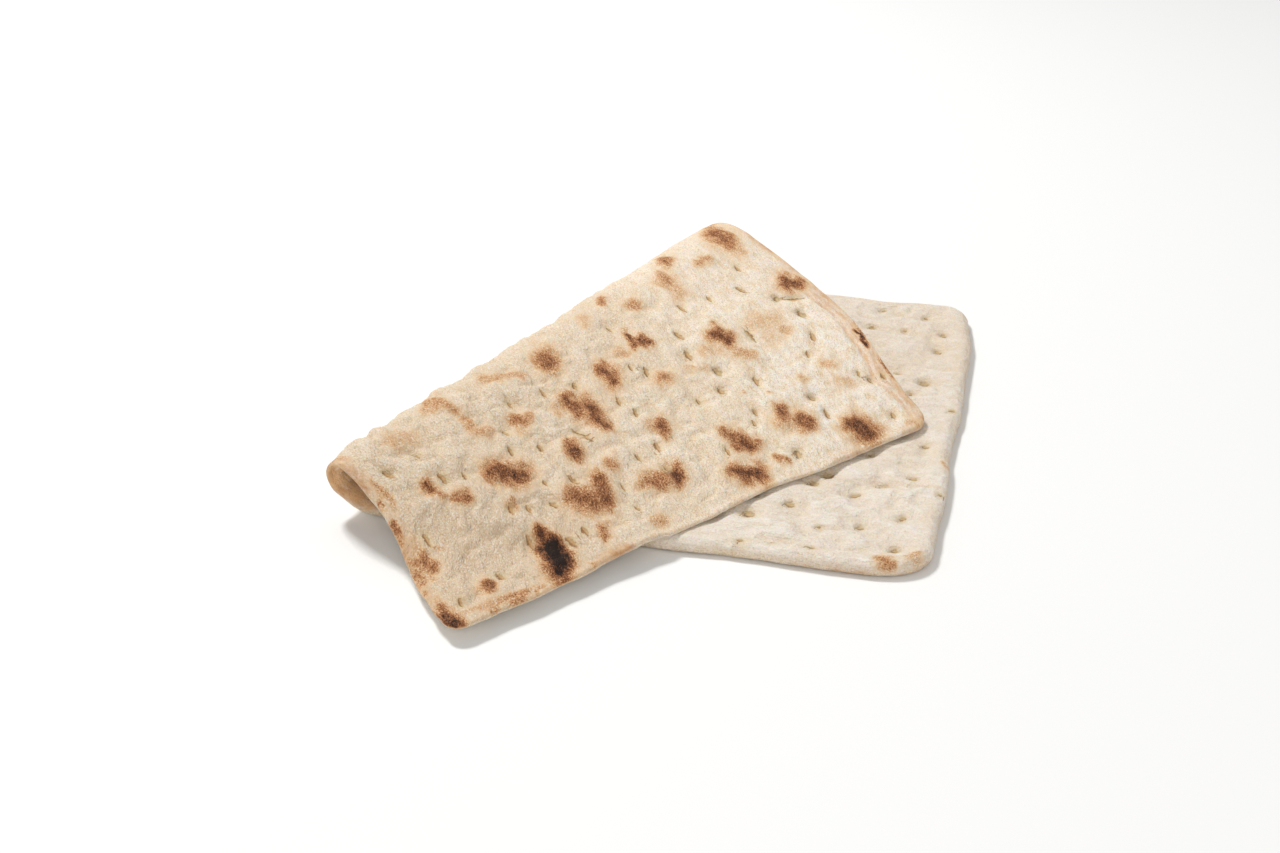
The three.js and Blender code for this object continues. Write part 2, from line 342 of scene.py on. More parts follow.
def inset(u, v):
    """Distance inwards from the rounded rectangle, by the usual rule for a box with round corners."""
    radius = corner_radius(u, v)
    qu = np.abs(u - LENGTH / 2) - LENGTH / 2 + radius
    qv = np.abs(v - WIDTH / 2) - WIDTH / 2 + radius
    outer = np.hypot(np.maximum(qu, 0), np.maximum(qv, 0))
    return np.maximum(radius - outer - np.minimum(np.maximum(qu, qv), 0), 0)


def round_corners(u, v):
    """Squeezes the four corner squares into quarter discs: each of the two distances into the square
    shrinks by the root of one less half the square of the other."""
    radius = corner_radius(u, v)
    qu = np.clip((np.abs(u - LENGTH / 2) - LENGTH / 2) / radius + 1, 0, 1)
    qv = np.clip((np.abs(v - WIDTH / 2) - WIDTH / 2) / radius + 1, 0, 1)
    in_u = radius * qu * (1 - np.sqrt(1 - qv**2 / 2))
    in_v = radius * qv * (1 - np.sqrt(1 - qu**2 / 2))
    return u - np.sign(u - LENGTH / 2) * in_u, v - np.sign(v - WIDTH / 2) * in_v


print("radii of the corners, mm:", CORNER_RADII)

# %% Grid of the sheet
ROWS, FLAP_COLUMNS, TURN_COLUMNS, BASE_COLUMNS = 200, 88, 40, 92
RIM_CELLS, RIM_BAND, BASE_GROWTH = 14, 9, 0.5


def sheet_grid():
    """Narrow rows at the two long sides and even ones between. In each row the flap, the turn and the
    base get their own columns, narrow at the sheet's two ends."""
    marks = [0, RIM_CELLS, ROWS - RIM_CELLS, ROWS]
    v = np.interp(np.arange(ROWS + 1), marks, [0, RIM_BAND, WIDTH - RIM_BAND, WIDTH])[:, None]
    fold = mix(FOLD_FRONT, FOLD_BACK, v / WIDTH)
    reach = turn_at(v) / 2 / fold_sin

    def from_end(count, length, growth):
        band = RIM_BAND * np.linspace(0, 1, RIM_CELLS + 1)[None, :-1]
        t = np.linspace(0, 1, count - RIM_CELLS + 1)[None, :]
        inner = mix(RIM_BAND, length, mix(t, t * t, growth))
        return np.hstack([np.broadcast_to(band, (len(v), RIM_CELLS)), inner])

    flap = from_end(FLAP_COLUMNS, fold - reach, growth=0)
    turn = mix(fold - reach, fold + reach, np.linspace(0, 1, TURN_COLUMNS + 1)[None, 1:-1])
    base = LENGTH - from_end(BASE_COLUMNS, LENGTH - fold - reach, BASE_GROWTH)[:, ::-1]
    u = np.hstack([flap, turn, base])
    return round_corners(u, np.broadcast_to(v, u.shape))


sheet_u, sheet_v = sheet_grid()
print("grid:", sheet_u.shape)

# %% [markdown]
# ## The browned marks, read from the picture
# Where the dough touched the hottest spots of the oven floor it scorched. The marks could be scattered
# by chance, but on this bread their places are known, so each one is written down by the picture
# points of its two ends, its width in the picture and how far it burned, from 0, not at all, to 1 or
# a little more, charred. Slits and open docking holes are written down by their places, the holes of
# the pale face also by their size. The camera tells where each point of the folded surface appears,
# so the marks can be measured in the picture, and asking which point appears nearest to a hole's
# place brings the hole back onto the flat sheet.

# %% Marks in picture points
CHARRED = [
    (541, 531, 547, 540, 18, 0.78), (552, 549, 560, 563, 42, 1.22), (562, 570, 567, 577, 18, 0.75),
    (853, 331, 855, 333, 6, 0.9), (860, 336, 870, 345, 7, 0.95), (921, 400, 925, 407, 6, 0.9),
]
SCORCHED = [
    (495, 472, 521, 475, 34, 0.74), (544, 357, 549, 364, 30, 0.62), (552, 371, 554, 375, 10, 0.45),
    (603, 370, 612, 380, 26, 0.7), (568, 398, 578, 412, 26, 0.66), (586, 405, 600, 421, 28, 0.7),
    (600, 424, 608, 428, 18, 0.82), (626, 334, 634, 346, 12, 0.72), (641, 342, 649, 346, 16, 0.74),
    (715, 335, 728, 341, 22, 0.78), (713, 324, 714, 329, 10, 0.45), (711, 233, 729, 241, 26, 0.62),
    (782, 281, 798, 284, 22, 0.72), (779, 411, 782, 418, 20, 0.66), (799, 418, 807, 424, 24, 0.7),
    (853, 424, 871, 434, 30, 0.78), (727, 432, 740, 440, 22, 0.6), (740, 442, 753, 446, 22, 0.74),
    (733, 470, 759, 473, 24, 0.8), (671, 473, 676, 480, 24, 0.76), (649, 482, 661, 483, 28, 0.58),
    (577, 497, 593, 502, 38, 0.62), (599, 479, 606, 503, 28, 0.68), (569, 446, 576, 455, 22, 0.72),
    (428, 484, 433, 488, 18, 0.66), (437, 491, 443, 497, 12, 0.45), (455, 497, 466, 498, 20, 0.62),
    (662, 424, 667, 432, 20, 0.66), (604, 527, 607, 535, 16, 0.55), (420, 559, 431, 569, 26, 0.55),
    (416, 571, 421, 579, 16, 0.5), (488, 583, 494, 587, 16, 0.7), (443, 612, 456, 621, 22, 0.82),
    (600, 304, 604, 303, 12, 0.6), (664, 261, 669, 262, 16, 0.55), (776, 455, 792, 461, 10, 0.5),
    (392, 520, 399, 540, 13, 0.6), (462, 625, 484, 620, 9, 0.52), (508, 601, 524, 594, 10, 0.48),
    (378, 496, 386, 510, 6, 0.4), (408, 558, 414, 572, 7, 0.45), (424, 588, 430, 602, 6, 0.42),
    (534, 590, 546, 584, 8, 0.42), (590, 562, 606, 555, 8, 0.4), (490, 612, 498, 608, 7, 0.4),
]
BLUSHED = [
    (389, 441, 413, 438, 30, 0.26), (426, 407, 440, 403, 20, 0.4), (441, 404, 460, 414, 12, 0.36),
    (461, 416, 472, 427, 16, 0.38), (474, 430, 489, 434, 22, 0.32), (482, 378, 521, 376, 16, 0.35),
    (515, 419, 526, 421, 20, 0.5), (660, 380, 669, 380, 26, 0.42), (610, 463, 614, 467, 20, 0.45),
    (662, 279, 668, 282, 24, 0.48), (674, 287, 679, 291, 28, 0.32), (697, 264, 710, 258, 12, 0.42),
    (632, 303, 637, 306, 20, 0.4), (511, 503, 514, 508, 16, 0.46), (657, 521, 665, 521, 18, 0.34),
    (754, 322, 774, 321, 36, 0.24), (785, 328, 790, 330, 14, 0.34), (768, 337, 782, 338, 26, 0.2),
    (737, 352, 749, 356, 22, 0.34), (703, 349, 713, 351, 20, 0.28), (688, 368, 706, 368, 16, 0.24),
    (823, 362, 833, 365, 18, 0.3), (837, 381, 847, 383, 22, 0.24), (802, 378, 806, 380, 14, 0.32),
    (910, 421, 914, 424, 16, 0.3), (582, 317, 587, 321, 18, 0.3), (735, 248, 741, 252, 18, 0.3),
    (618, 350, 625, 354, 18, 0.3), (556, 406, 563, 412, 20, 0.34), (478, 588, 484, 588, 18, 0.26),
    (652, 424, 657, 428, 18, 0.32), (776, 420, 790, 424, 24, 0.3), (722, 430, 728, 436, 18, 0.32),
    (517, 431, 526, 432, 14, 0.26), (640, 486, 650, 488, 20, 0.3), (585, 512, 598, 514, 18, 0.28),
    (742, 391, 744, 392, 6, 0.36), (770, 392, 772, 393, 6, 0.36), (433, 543, 443, 547, 8, 0.34),
]
PALE_BLUSHED = [
    (880, 558, 890, 561, 16, 0.5), (905, 555, 918, 553, 12, 0.3), (944, 460, 948, 466, 8, 0.3),
]
print("marks:", len(CHARRED + SCORCHED + BLUSHED), "and on the pale face:", len(PALE_BLUSHED))

# %% Slits, holes and cracks in picture points
SLITS = [
    (511, 402), (506, 431), (510, 450), (443, 476), (464, 475), (428, 537), (501, 575), (461, 599),
    (446, 420), (428, 426), (578, 360), (544, 392), (575, 385), (631, 369), (647, 370), (618, 401),
    (637, 413), (657, 445), (639, 457), (544, 482), (574, 478), (622, 486), (555, 501), (572, 539),
    (586, 531), (639, 508), (512, 510), (541, 446), (738, 267), (742, 291), (710, 298), (698, 245),
    (679, 334), (609, 328), (688, 354), (682, 308), (813, 336), (807, 353), (755, 421), (756, 409),
    (728, 451), (895, 414), (859, 374), (884, 375), (757, 378), (723, 390), (829, 412), (387, 473),
    (417, 454), (530, 507), (587, 438), (666, 470), (530, 540), (700, 400),
]
OPEN_HOLES = [(777, 298), (801, 312), (718, 371), (870, 377), (813, 394), (798, 451)]
CRACKS = [((782, 299), (806, 297)), ((743, 328), (757, 344)), ((570, 426), (592, 442))]
PALE_HOLES = [
    (856, 488, 1.3), (859, 521, 1.3), (740, 540, 0.8), (772, 540, 0.9), (813, 546, 1.1), (897, 544, 1.1),
    (788, 499, 1.6), (748, 509, 1.8), (812, 478, 1.6), (829, 471, 1.5), (904, 514, 0.9), (926, 443, 1.1),
    (913, 475, 1.0), (940, 495, 0.8), (938, 347, 1.3), (925, 379, 1.5), (952, 410, 1.1), (872, 322, 1.0),
]
print("slits:", len(SLITS), "open holes:", len(OPEN_HOLES), "pale holes:", len(PALE_HOLES))

# %% Bring picture points back to the sheet
VIEW_SHARE = 4


def past_view(u, v):
    """How far a place lies past the line in the turn where the browned face comes into view."""
    return to_fold(u, v)[1] + turn_at(v) / VIEW_SHARE


_, sheet_across = to_fold(sheet_u, sheet_v)
sheet_turn = turn_at(sheet_v)
shows = {"browned": past_view(sheet_u, sheet_v) > 0, "pale": sheet_across < -sheet_turn / 2}
face_off = {"browned": -THICKNESS / 2, "pale": THICKNESS / 2}
appears = {face: to_pixels(folded(*outlined(sheet_u, sheet_v), off)) for face, off in face_off.items()}


def on_sheet(picture_points, face):
    """The sheet's (u, v) of the grid point that appears nearest to each picture point, among those of
    the named face that the camera can see."""
    seen = shows[face]
    gaps = np.linalg.norm(appears[face][seen][None] - np.array(picture_points, float)[:, None], axis=2)
    nearest = gaps.argmin(axis=1)
    return np.stack([sheet_u[seen][nearest], sheet_v[seen][nearest]], axis=1)


print("first slit on the sheet:", on_sheet(SLITS[:1], "browned").round(1))

# %% [markdown]
# ## Docking holes
# Before baking, the sheet is pricked all over so that it doesn't balloon. On the pale top each prick
# is a round pit in a soft dimple, and on the browned underside it ends in a short slit. The holes
# could be cut out with booleans, but they are about as narrow as one cell of the grid. So each point
# of the surface keeps its place relative to the nearest hole: the relief takes the dimple from it,
# and the material draws the hole itself.

# %% Grid of docking holes
DOCK_PITCH, DOCK_JITTER, DOCK_MARGIN = 23, 0.3, 9
DOCK_ROWS, DOCK_COLUMNS = 11, 17
SCATTER_I, SCATTER_J, SCATTER_K, SCATTER_GAIN = 127.1, 311.7, 74.7, 43758.5453


def scatter(i, j, k):
    """A repeatable number between -0.5 and 0.5: what is left after the point in a large sine."""
    x = np.sin(i * SCATTER_I + j * SCATTER_J + k * SCATTER_K) * SCATTER_GAIN
    return x - np.floor(x) - 0.5


def docking_grid():
    """Offset rows of holes, each one a little out of line."""
    row, column = np.meshgrid(np.arange(1, DOCK_ROWS + 1), np.arange(DOCK_COLUMNS), indexing="ij")
    u = (column + row % 2 / 2 + DOCK_JITTER * scatter(column, row, 1)) * DOCK_PITCH
    v = (row + DOCK_JITTER * scatter(column, row, 2)) * DOCK_PITCH
    places = np.stack([u, v], axis=-1).reshape(-1, 2)
    return places[inset(*places.T) > DOCK_MARGIN]


docks = docking_grid()
print("docking holes of the whole sheet:", len(docks))

# %% Holes of both faces
PIT_HALF, SLIT_HALF, OPEN_HALF = (1.7, 1.2), (3.2, 1.1), (2.6, 1.6)
HOLE_LARGEST, HOLE_UNEVEN = 1.2, 0.15
CRACK_HALF_WIDTH, CRACK_TINT = 0.9, 0.5
DOCK_CLEAR = 14
chance = np.random.default_rng(seed=5)


def holes_at(places, half_size, smallest, spread, tint, scale=1.0):
    """One row for each hole: its place, its angle, half its length, half its width and its tint. The
    angle and the size are drawn evenly from their ranges."""
    count = len(places)
    angles = chance.uniform(-spread, spread, count)
    sizes = chance.uniform(smallest, HOLE_LARGEST, (count, 1))
    sizes = sizes * chance.uniform(1 - HOLE_UNEVEN, 1 + HOLE_UNEVEN, (count, 2)) * half_size
    sizes = sizes * np.reshape(scale, (-1, 1))
    return np.column_stack([places, angles, sizes, np.full(count, tint)])


def cracks_at(cracks):
    """The same rows for the cracks, from their two ends."""
    starts = on_sheet([crack[0] for crack in cracks], "browned")
    run = on_sheet([crack[1] for crack in cracks], "browned") - starts
    half_length = np.linalg.norm(run, axis=1) / 2
    angles = np.arctan2(run[:, 1], run[:, 0])
    rest = np.tile([CRACK_HALF_WIDTH, CRACK_TINT], (len(cracks), 1))
    return np.column_stack([starts + run / 2, angles, half_length, rest])


pits = on_sheet([hole[:2] for hole in PALE_HOLES], "pale")
clear = np.linalg.norm(docks[:, None] - pits, axis=2).min(axis=1) > DOCK_CLEAR
pale_holes = np.vstack([
    holes_at(pits, PIT_HALF, smallest=0.9, spread=0.5, tint=1, scale=[hole[2] for hole in PALE_HOLES]),
    holes_at(docks[clear], PIT_HALF, smallest=0.5, spread=0.5, tint=1),
])
unseen = past_view(*docks.T) < 0
browned_holes = np.vstack([
    holes_at(on_sheet(SLITS, "browned"), SLIT_HALF, smallest=0.7, spread=0.25, tint=0),
    holes_at(on_sheet(OPEN_HOLES, "browned"), OPEN_HALF, smallest=0.8, spread=0.5, tint=1),
    holes_at(docks[unseen], SLIT_HALF, smallest=0.7, spread=0.25, tint=0),
    cracks_at(CRACKS),
])
print("holes, pale and browned:", len(pale_holes), len(browned_holes))

# %% Holes as fields over the sheet
ALONG, ACROSS, NEAR, TINT = range(4)
GROOVE_LONG, GROOVE_WIDE, DIMPLE_RADIUS, FAR_AWAY = 1, 1.2, 7.5, 6
DENT_LONG, DENT_WIDE = 2.0, 2.6


def near_holes(u, v, holes):
    """For each point the place along and across its nearest hole, counted in halves of its size, how
    near the hole is, from 0 to 1, and the hole's tint. Then a narrow bell over the nearest hole's own
    shape, as high as half its width, and a wide round one, 1 at the hole, over its surroundings."""
    found = np.tile([FAR_AWAY, FAR_AWAY, 0, 0], u.shape + (1,))
    groove, dimple = np.zeros(u.shape), np.zeros(u.shape)
    for hole_u, hole_v, angle, half_length, half_width, tint in holes:
        du, dv = u - hole_u, v - hole_v
        along = du * math.cos(angle) + dv * math.sin(angle)
        across = dv * math.cos(angle) - du * math.sin(angle)
        near = 1 - np.hypot(along / (half_length + DENT_LONG), across / (half_width + DENT_WIDE))
        local = np.broadcast_arrays(along / half_length, across / half_width, near, tint)
        found = np.where((near > found[..., NEAR])[..., None], np.stack(local, axis=-1), found)
        away = (along / (half_length + GROOVE_LONG)) ** 2 + (across / (half_width + GROOVE_WIDE)) ** 2
        groove = np.maximum(groove, half_width * np.exp(-away))
        dimple = np.maximum(dimple, np.exp(-(du**2 + dv**2) / DIMPLE_RADIUS**2))
    return found, groove, dimple


hole_browned, groove_browned, dimple_browned = near_holes(sheet_u, sheet_v, browned_holes)
hole_pale, groove_pale, dimple_pale = near_holes(sheet_u, sheet_v, pale_holes)
print("share of the pale face in a dimple:", round(float((dimple_pale > 0.5).mean()), 3))

# %% [markdown]
# ## What the oven did
# A mark is dark in its core and fades through brown and pink into the dough. Real marks are ragged
# and drawn out along the length of the sheet. A painted image could show that, but the marks are only
# ends, widths and strengths here, so the raggedness comes from bending the places with stretched
# hills before measuring how far they are from each mark. The side of the bread that no picture shows
# gets seeded marks of the same sizes.

# %% How a mark burns
CORE_REACH, CORE_FADE = 1.4, 1.5
HALO_REACH, HALO_FADE, HALO_BURN, HALO_MORE = 2.1, 1.7, 0.26, 0.2
LEAST_RUN = 1e-6


def scorched(x, y, marks):
    """The strongest mark at each place. A mark has its full strength along its middle and falls off
    with a level step around its width; a halo reaches further out and is much weaker."""
    burn = np.zeros(x.shape)
    for x_start, y_start, x_end, y_end, width, strength in marks:
        dx, dy = x_end - x_start, y_end - y_start
        share = ((x - x_start) * dx + (y - y_start) * dy) / max(dx * dx + dy * dy, LEAST_RUN)
        share = np.clip(share, 0, 1)
        gap = np.hypot(x - x_start - share * dx, y - y_start - share * dy) / (width / 2)
        core = strength * smooth((CORE_REACH - gap) / CORE_FADE)
        halo = HALO_BURN * min(1, strength + HALO_MORE) * smooth((HALO_REACH - gap) / HALO_FADE)
        burn = np.maximum(burn, np.maximum(core, halo))
    return burn


gaps = np.arange(0, 16, 5)
burns = scorched(gaps, 0 * gaps, [(0, 0, 0, 0, 12, 1)])
print("burn", gaps, "points from the middle of a mark 12 wide:", burns.round(2))

# %% Marks that show and hidden ones
WANDER, WANDER_SHOWN, WANDER_CELL, WANDER_STRETCH = 2.0, 3.5, 5, 2.0
SHOWN_FADE = 12
HIDDEN_MARKS, HIDDEN_CLEAR = 110, 6
HIDDEN_MARGIN_U, HIDDEN_MARGIN_V = 14, 12
HIDDEN_RUN_FROM, HIDDEN_RUN_TO = (2, -3), (9, 3)
HIDDEN_SIZE_FROM, HIDDEN_SIZE_TO = (5, 0.2), (15, 0.78)

wander = np.stack([
    hills(sheet_u / WANDER_STRETCH, sheet_v, WANDER_CELL, seed=31),
    hills(sheet_u / WANDER_STRETCH, sheet_v, WANDER_CELL / 2, seed=32),
])


def shown_marks(marks, face):
    """The marks of one face, measured in the picture, where the camera sees that face."""
    return scorched(*(np.moveaxis(appears[face], -1, 0) + WANDER_SHOWN * wander), marks)


def hidden_marks():
    """Seeded marks where the browned face is turned away: places, short runs along the sheet, widths
    and strengths drawn evenly from their ranges."""
    u = chance.uniform(HIDDEN_MARGIN_U, LENGTH - HIDDEN_MARGIN_U, HIDDEN_MARKS)
    v = chance.uniform(HIDDEN_MARGIN_V, WIDTH - HIDDEN_MARGIN_V, HIDDEN_MARKS)
    run = chance.uniform(HIDDEN_RUN_FROM, HIDDEN_RUN_TO, (HIDDEN_MARKS, 2))
    sizes = chance.uniform(HIDDEN_SIZE_FROM, HIDDEN_SIZE_TO, (HIDDEN_MARKS, 2))
    away = past_view(u, v) < -HIDDEN_CLEAR
    return np.column_stack([u, v, u + run[:, 0], v + run[:, 1], sizes])[away]


in_picture = smooth(past_view(sheet_u, sheet_v) / SHOWN_FADE)
shown_burn = in_picture * shown_marks(CHARRED + SCORCHED + BLUSHED, "browned")
hidden_burn = scorched(sheet_u + WANDER * wander[0], sheet_v + WANDER * wander[1], hidden_marks())
scorch_pale = shows["pale"] * shown_marks(PALE_BLUSHED, "pale")
print("charred share of the browned face:", round(float((shown_burn > 0.7).mean()), 4))

# %% Burnt edges
BAND_IN, BAND_WANDER, BAND_WIDTH, BAND_FRONT, BAND_CORNER = 3.0, 2.6, 2.6, 30, 110
BAND_BURN, BAND_PATCHES, BAND_MOST, BAND_CELL, BAND_PATCH_CELL = 0.25, 0.45, 0.6, 9, 15
END_LINE, END_LINE_TO, END_LINE_FADE = 1.7, 120, 50
END_BURN, END_PATCHES, END_MOST, END_CELL = 0.3, 0.4, 0.75, 9


def edge_burn():
    """A patchy brown band a little way in from the rim, along the flap's front end and around its
    front corner: a bell over the distance from the rim, which wanders, times the positive part of
    random hills."""
    from_rim = inset(sheet_u, sheet_v) - BAND_IN
    from_rim = from_rim - BAND_WANDER * hills(sheet_u, sheet_v, BAND_CELL, seed=34)
    near_front = smooth(1 - sheet_v / BAND_FRONT) * (sheet_across > 0)
    near_corner = smooth(1 - sheet_u / BAND_FRONT) * smooth(1 - sheet_v / BAND_CORNER)
    patchy = BAND_BURN + BAND_PATCHES * hills(sheet_u, sheet_v, BAND_PATCH_CELL, seed=33)
    band = bell(from_rim / BAND_WIDTH) * np.maximum(near_front, near_corner)
    return np.clip(patchy, 0, BAND_MOST) * band


def end_burn():
    """A thin brown line on the very edge of the flap's far end: a bell over the distance from that
    end, times a level plus random hills."""
    line = bell((WIDTH - sheet_v) / END_LINE) * smooth((END_LINE_TO - sheet_u) / END_LINE_FADE)
    patchy = END_BURN + END_PATCHES * hills(sheet_u, sheet_v, END_CELL, seed=35)
    return np.clip(patchy, 0, END_MOST) * line


scorch_browned = np.maximum.reduce([shown_burn, hidden_burn, edge_burn(), end_burn()])
print("scorched share of the browned face:", round(float((scorch_browned > 0.4).mean()), 3))

# %% [markdown]
# ## Thickness and relief
# The crumb puffs between the holes, blisters rise where it scorched, and the flap's free side presses
# the lumps of the layer below even. The browned face was flat on the oven floor right to its edge,
# while the pale face rounds down to it, so the rim looks plump from the pale side and thin from the
# browned one. Bump mapping could suggest the relief, but then the outline and the shadows would stay
# smooth, so the surface itself moves. The relief fades out towards the rim, and it only hollows the
# face that lies on the floor, so that nothing pokes through.

# %% Lumps of the dough
PUFF_STRETCH, PUFF_STEEP, PUFF_MIDDLE = 1.3, 2, 0.55
PALE_LUMPS = ((15, 52, 1.3), (7, 53, 1.0))
BROWNED_LUMPS = ((12, 62, 1.3), (6, 63, 1.1))
LUMPS_FRONT, LUMPS_BACK = 1.4, 0.5


def lumps(sizes):
    """Round lumps with creases between them, added up over their sizes, each a cell, a seed and a
    height: the size of the hills' height, without its sign, which has its creases where the hills
    cross zero, cut off at the top and centred on its middle value."""
    made = np.zeros(sheet_u.shape)
    for cell, seed, height in sizes:
        round_tops = np.abs(hills(sheet_u / PUFF_STRETCH, sheet_v, cell, seed))
        made = made + height * (np.minimum(PUFF_STEEP * round_tops, 1) - PUFF_MIDDLE)
    return made


lumps_pale = lumps(PALE_LUMPS)
lumps_browned = lumps(BROWNED_LUMPS) * mix(LUMPS_FRONT, LUMPS_BACK, smooth(sheet_v / WIDTH))
print("lumps, mm:", lumps_pale.min().round(2), "to", lumps_pale.max().round(2))

# %% Relief of the pale face
PRESS_WIDTH, PRESS_LEVEL = 10, -0.4
PILLOW, PILLOW_CELL, PILLOW_STRETCH, PILLOW_DROP = 0.5, 24, 1.4, 0.9
MOST_UNDER_FLAP, OPEN_PUFF = 0.2, 1.5
PALE_DIMPLE, PALE_GROOVE = 1.6, 0.6

# The two ends of the flap's free side, brought down onto the flat sheet of the layer below. The
# outline shifts a place a little, so that shift is taken off again.
landed_along, landed_across = to_fold(*outlined(sheet_u[[0, -1], 0], sheet_v[[0, -1], 0]))
landed = np.stack(from_fold(landed_along, look_up(fold_side, landed_along, landed_across)))
landed = 2 * landed - np.stack(outlined(*landed))


def past_landing(u, v):
    """How far a place of the layer below lies past the line where the flap's free side rests on it, in
    widths of the band that the flap presses even; below zero it is under the flap."""
    line_u, line_v = landed[:, 1] - landed[:, 0]
    gap = ((u - landed[0, 0]) * line_v - (v - landed[1, 0]) * line_u) / math.hypot(line_u, line_v)
    return gap / PRESS_WIDTH


past_flap = past_landing(sheet_u, sheet_v)
pillows = PILLOW * hills(sheet_u / PILLOW_STRETCH, sheet_v, PILLOW_CELL, seed=51) + lumps_pale - PILLOW_DROP
relief_pale = mix(np.minimum(pillows, MOST_UNDER_FLAP), OPEN_PUFF * pillows, smooth(past_flap - 1))
relief_pale = mix(relief_pale, PRESS_LEVEL, smooth(2 - np.abs(past_flap)))
relief_pale = relief_pale - PALE_DIMPLE * dimple_pale - PALE_GROOVE * groove_pale
print("relief of the pale face, mm:", relief_pale.min().round(2), "to", relief_pale.max().round(2))

# %% Relief of the browned face
FLAP_BLEND, LIFT_OFF = 20, 36
SLOW_WAVES, SLOW_CELL = 0.5, 20
BLISTER_BURN, BLISTER, BLISTER_UNEVEN, BLISTER_CELL = 0.6, 0.6, 0.4, 4
BROWNED_DIMPLE, BROWNED_GROOVE = 0.6, 0.9
HEM, HEM_CREASE, HEM_DEPTH, HEM_WANDER, HEM_CELL = 7, 2.2, 1.3, 1.8, 18
HEM_LENGTH, HEM_FADE = 150, 40

flap_share = smooth(sheet_across / FLAP_BLEND + 0.5)
waves = SLOW_WAVES * hills(sheet_u / PUFF_STRETCH, sheet_v, SLOW_CELL, seed=61) + lumps_browned
rough_tops = BLISTER + BLISTER_UNEVEN * hills(sheet_u, sheet_v, BLISTER_CELL, seed=64)
blisters = smooth(scorch_browned / BLISTER_BURN) * rough_tops
relief_browned = waves + blisters - BROWNED_DIMPLE * dimple_browned - BROWNED_GROOVE * groove_browned
from_end = WIDTH - sheet_v + HEM_WANDER * hills(sheet_u, sheet_v, HEM_CELL, seed=66)
hem_share = smooth((HEM_LENGTH - sheet_u) / HEM_FADE) * flap_share
hem_crease = hem_share * bell((from_end - HEM) / HEM_CREASE)
relief_browned = relief_browned - HEM_DEPTH * hem_crease
off_floor = smooth((sheet_across + sheet_turn / 2) / LIFT_OFF)
relief_browned = mix(np.minimum(relief_browned, 0), relief_browned, off_floor)
print("relief of the browned face, mm:", relief_browned.min().round(2), "to", relief_browned.max().round(2))

# %% Thickness
RIM_EDGE, RIM_EDGE_BASE, RIM_WIDTH, RIM_WIDTH_BASE = 2.7, 5.8, 10, 7
SHOULDER, SHOULDER_WIDTH, RIM_LUMPS, RIM_LUMP_CELL = 0.7, 10, 0.8, 17
RELIEF_START, RELIEF_GROWTH = 2, 9

rim_distance = inset(sheet_u, sheet_v)
inside = smooth((rim_distance - RELIEF_START) / RELIEF_GROWTH)
rim_edge = mix(RIM_EDGE_BASE, RIM_EDGE, flap_share)
rim_edge = rim_edge + RIM_LUMPS * hills(sheet_u, sheet_v, RIM_LUMP_CELL, seed=65)
rim_width = mix(RIM_WIDTH_BASE, RIM_WIDTH, flap_share)
rounding = np.sqrt(1 - (1 - np.clip(rim_distance / rim_width, 0, 1)) ** 2)
rounding = np.minimum(rounding, mix(1, smooth(sheet_u / DROOP_WIDTH), flap_share))
half_browned = THICKNESS / 2 - SHOULDER * (1 - smooth(rim_distance / SHOULDER_WIDTH))
half_pale = rim_edge - (THICKNESS / 2 - SHOULDER) + (THICKNESS - SHOULDER - rim_edge) * rounding
half_pale, half_browned = half_pale + inside * relief_pale, half_browned + inside * relief_browned
bed = PRESS_LEVEL + rim_edge - RIM_EDGE
print("half thickness, mm:", half_pale.min().round(2), half_browned.max().round(2))
print("bed under the free side, mm:", bed[:, 0].min().round(2), "to", bed[:, 0].max().round(2))

# %% [markdown]
# ## The rim and all the points
# The cut side of the sheet bulges out between the two faces. It could be a bevel on a solidified
# sheet, but rings of points give it the round shape and leave the colours of each ring in our hands.
# A ring's angle runs from the browned face to the pale one: its cosine gives the height in the rim
# and its sine the bulge.

# %% Rim rings
RIM_RINGS, RIM_ROUND = 5, 1.6

# The border of the grid, once round: along the first row, down the last column, back along the last
# row and up the first column.
row_count, column_count = sheet_u.shape
last_row, last_column = row_count - 1, column_count - 1
ring = (
    np.repeat([0, 0, last_row, 0], [last_column, last_row, last_column, last_row]),
    np.repeat([0, last_column, 0, 0], [last_column, last_row, last_column, last_row]),
)
ring[1][:last_column] = np.arange(last_column)
ring[0][last_column:last_column + last_row] = np.arange(last_row)
ring[1][last_column + last_row:-last_row] = np.arange(last_column, 0, -1)
ring[0][-last_row:] = np.arange(last_row, 0, -1)

ring_u, ring_v = sheet_u[ring], sheet_v[ring]
run_u, run_v = (np.roll(x, -1) - np.roll(x, 1) for x in (ring_u, ring_v))
out_u, out_v = run_v / np.hypot(run_u, run_v), -run_u / np.hypot(run_u, run_v)
rim_share = np.arange(1, RIM_RINGS + 1)[:, None] / (RIM_RINGS + 1)
rim_out = RIM_ROUND * np.sin(math.pi * rim_share)
rim_u, rim_v = ring_u + rim_out * out_u, ring_v + rim_out * out_v
rim_middle, rim_half = (half_pale - half_browned)[ring] / 2, (half_pale + half_browned)[ring] / 2
rim_off = rim_middle - rim_half * np.cos(math.pi * rim_share)
print("rim:", RIM_RINGS, "rings of", len(ring_u), "points")

# %% All points
def joined(pale_values, browned_values, rim_values):
    """The values of the pale face, the browned face and the rim rings in one long row."""
    return np.concatenate([np.ravel(x) for x in (pale_values, browned_values, rim_values)])


all_u, all_v = joined(sheet_u, sheet_u, rim_u), joined(sheet_v, sheet_v, rim_v)
all_off = joined(half_pale, -half_browned, rim_off)
all_bed = joined(bed, bed, np.broadcast_to(bed[ring], rim_u.shape))
points = folded(*outlined(all_u, all_v), all_off, all_bed)
print("points:", len(points), "box, mm:", points.min(axis=0).round(1), points.max(axis=0).round(1))

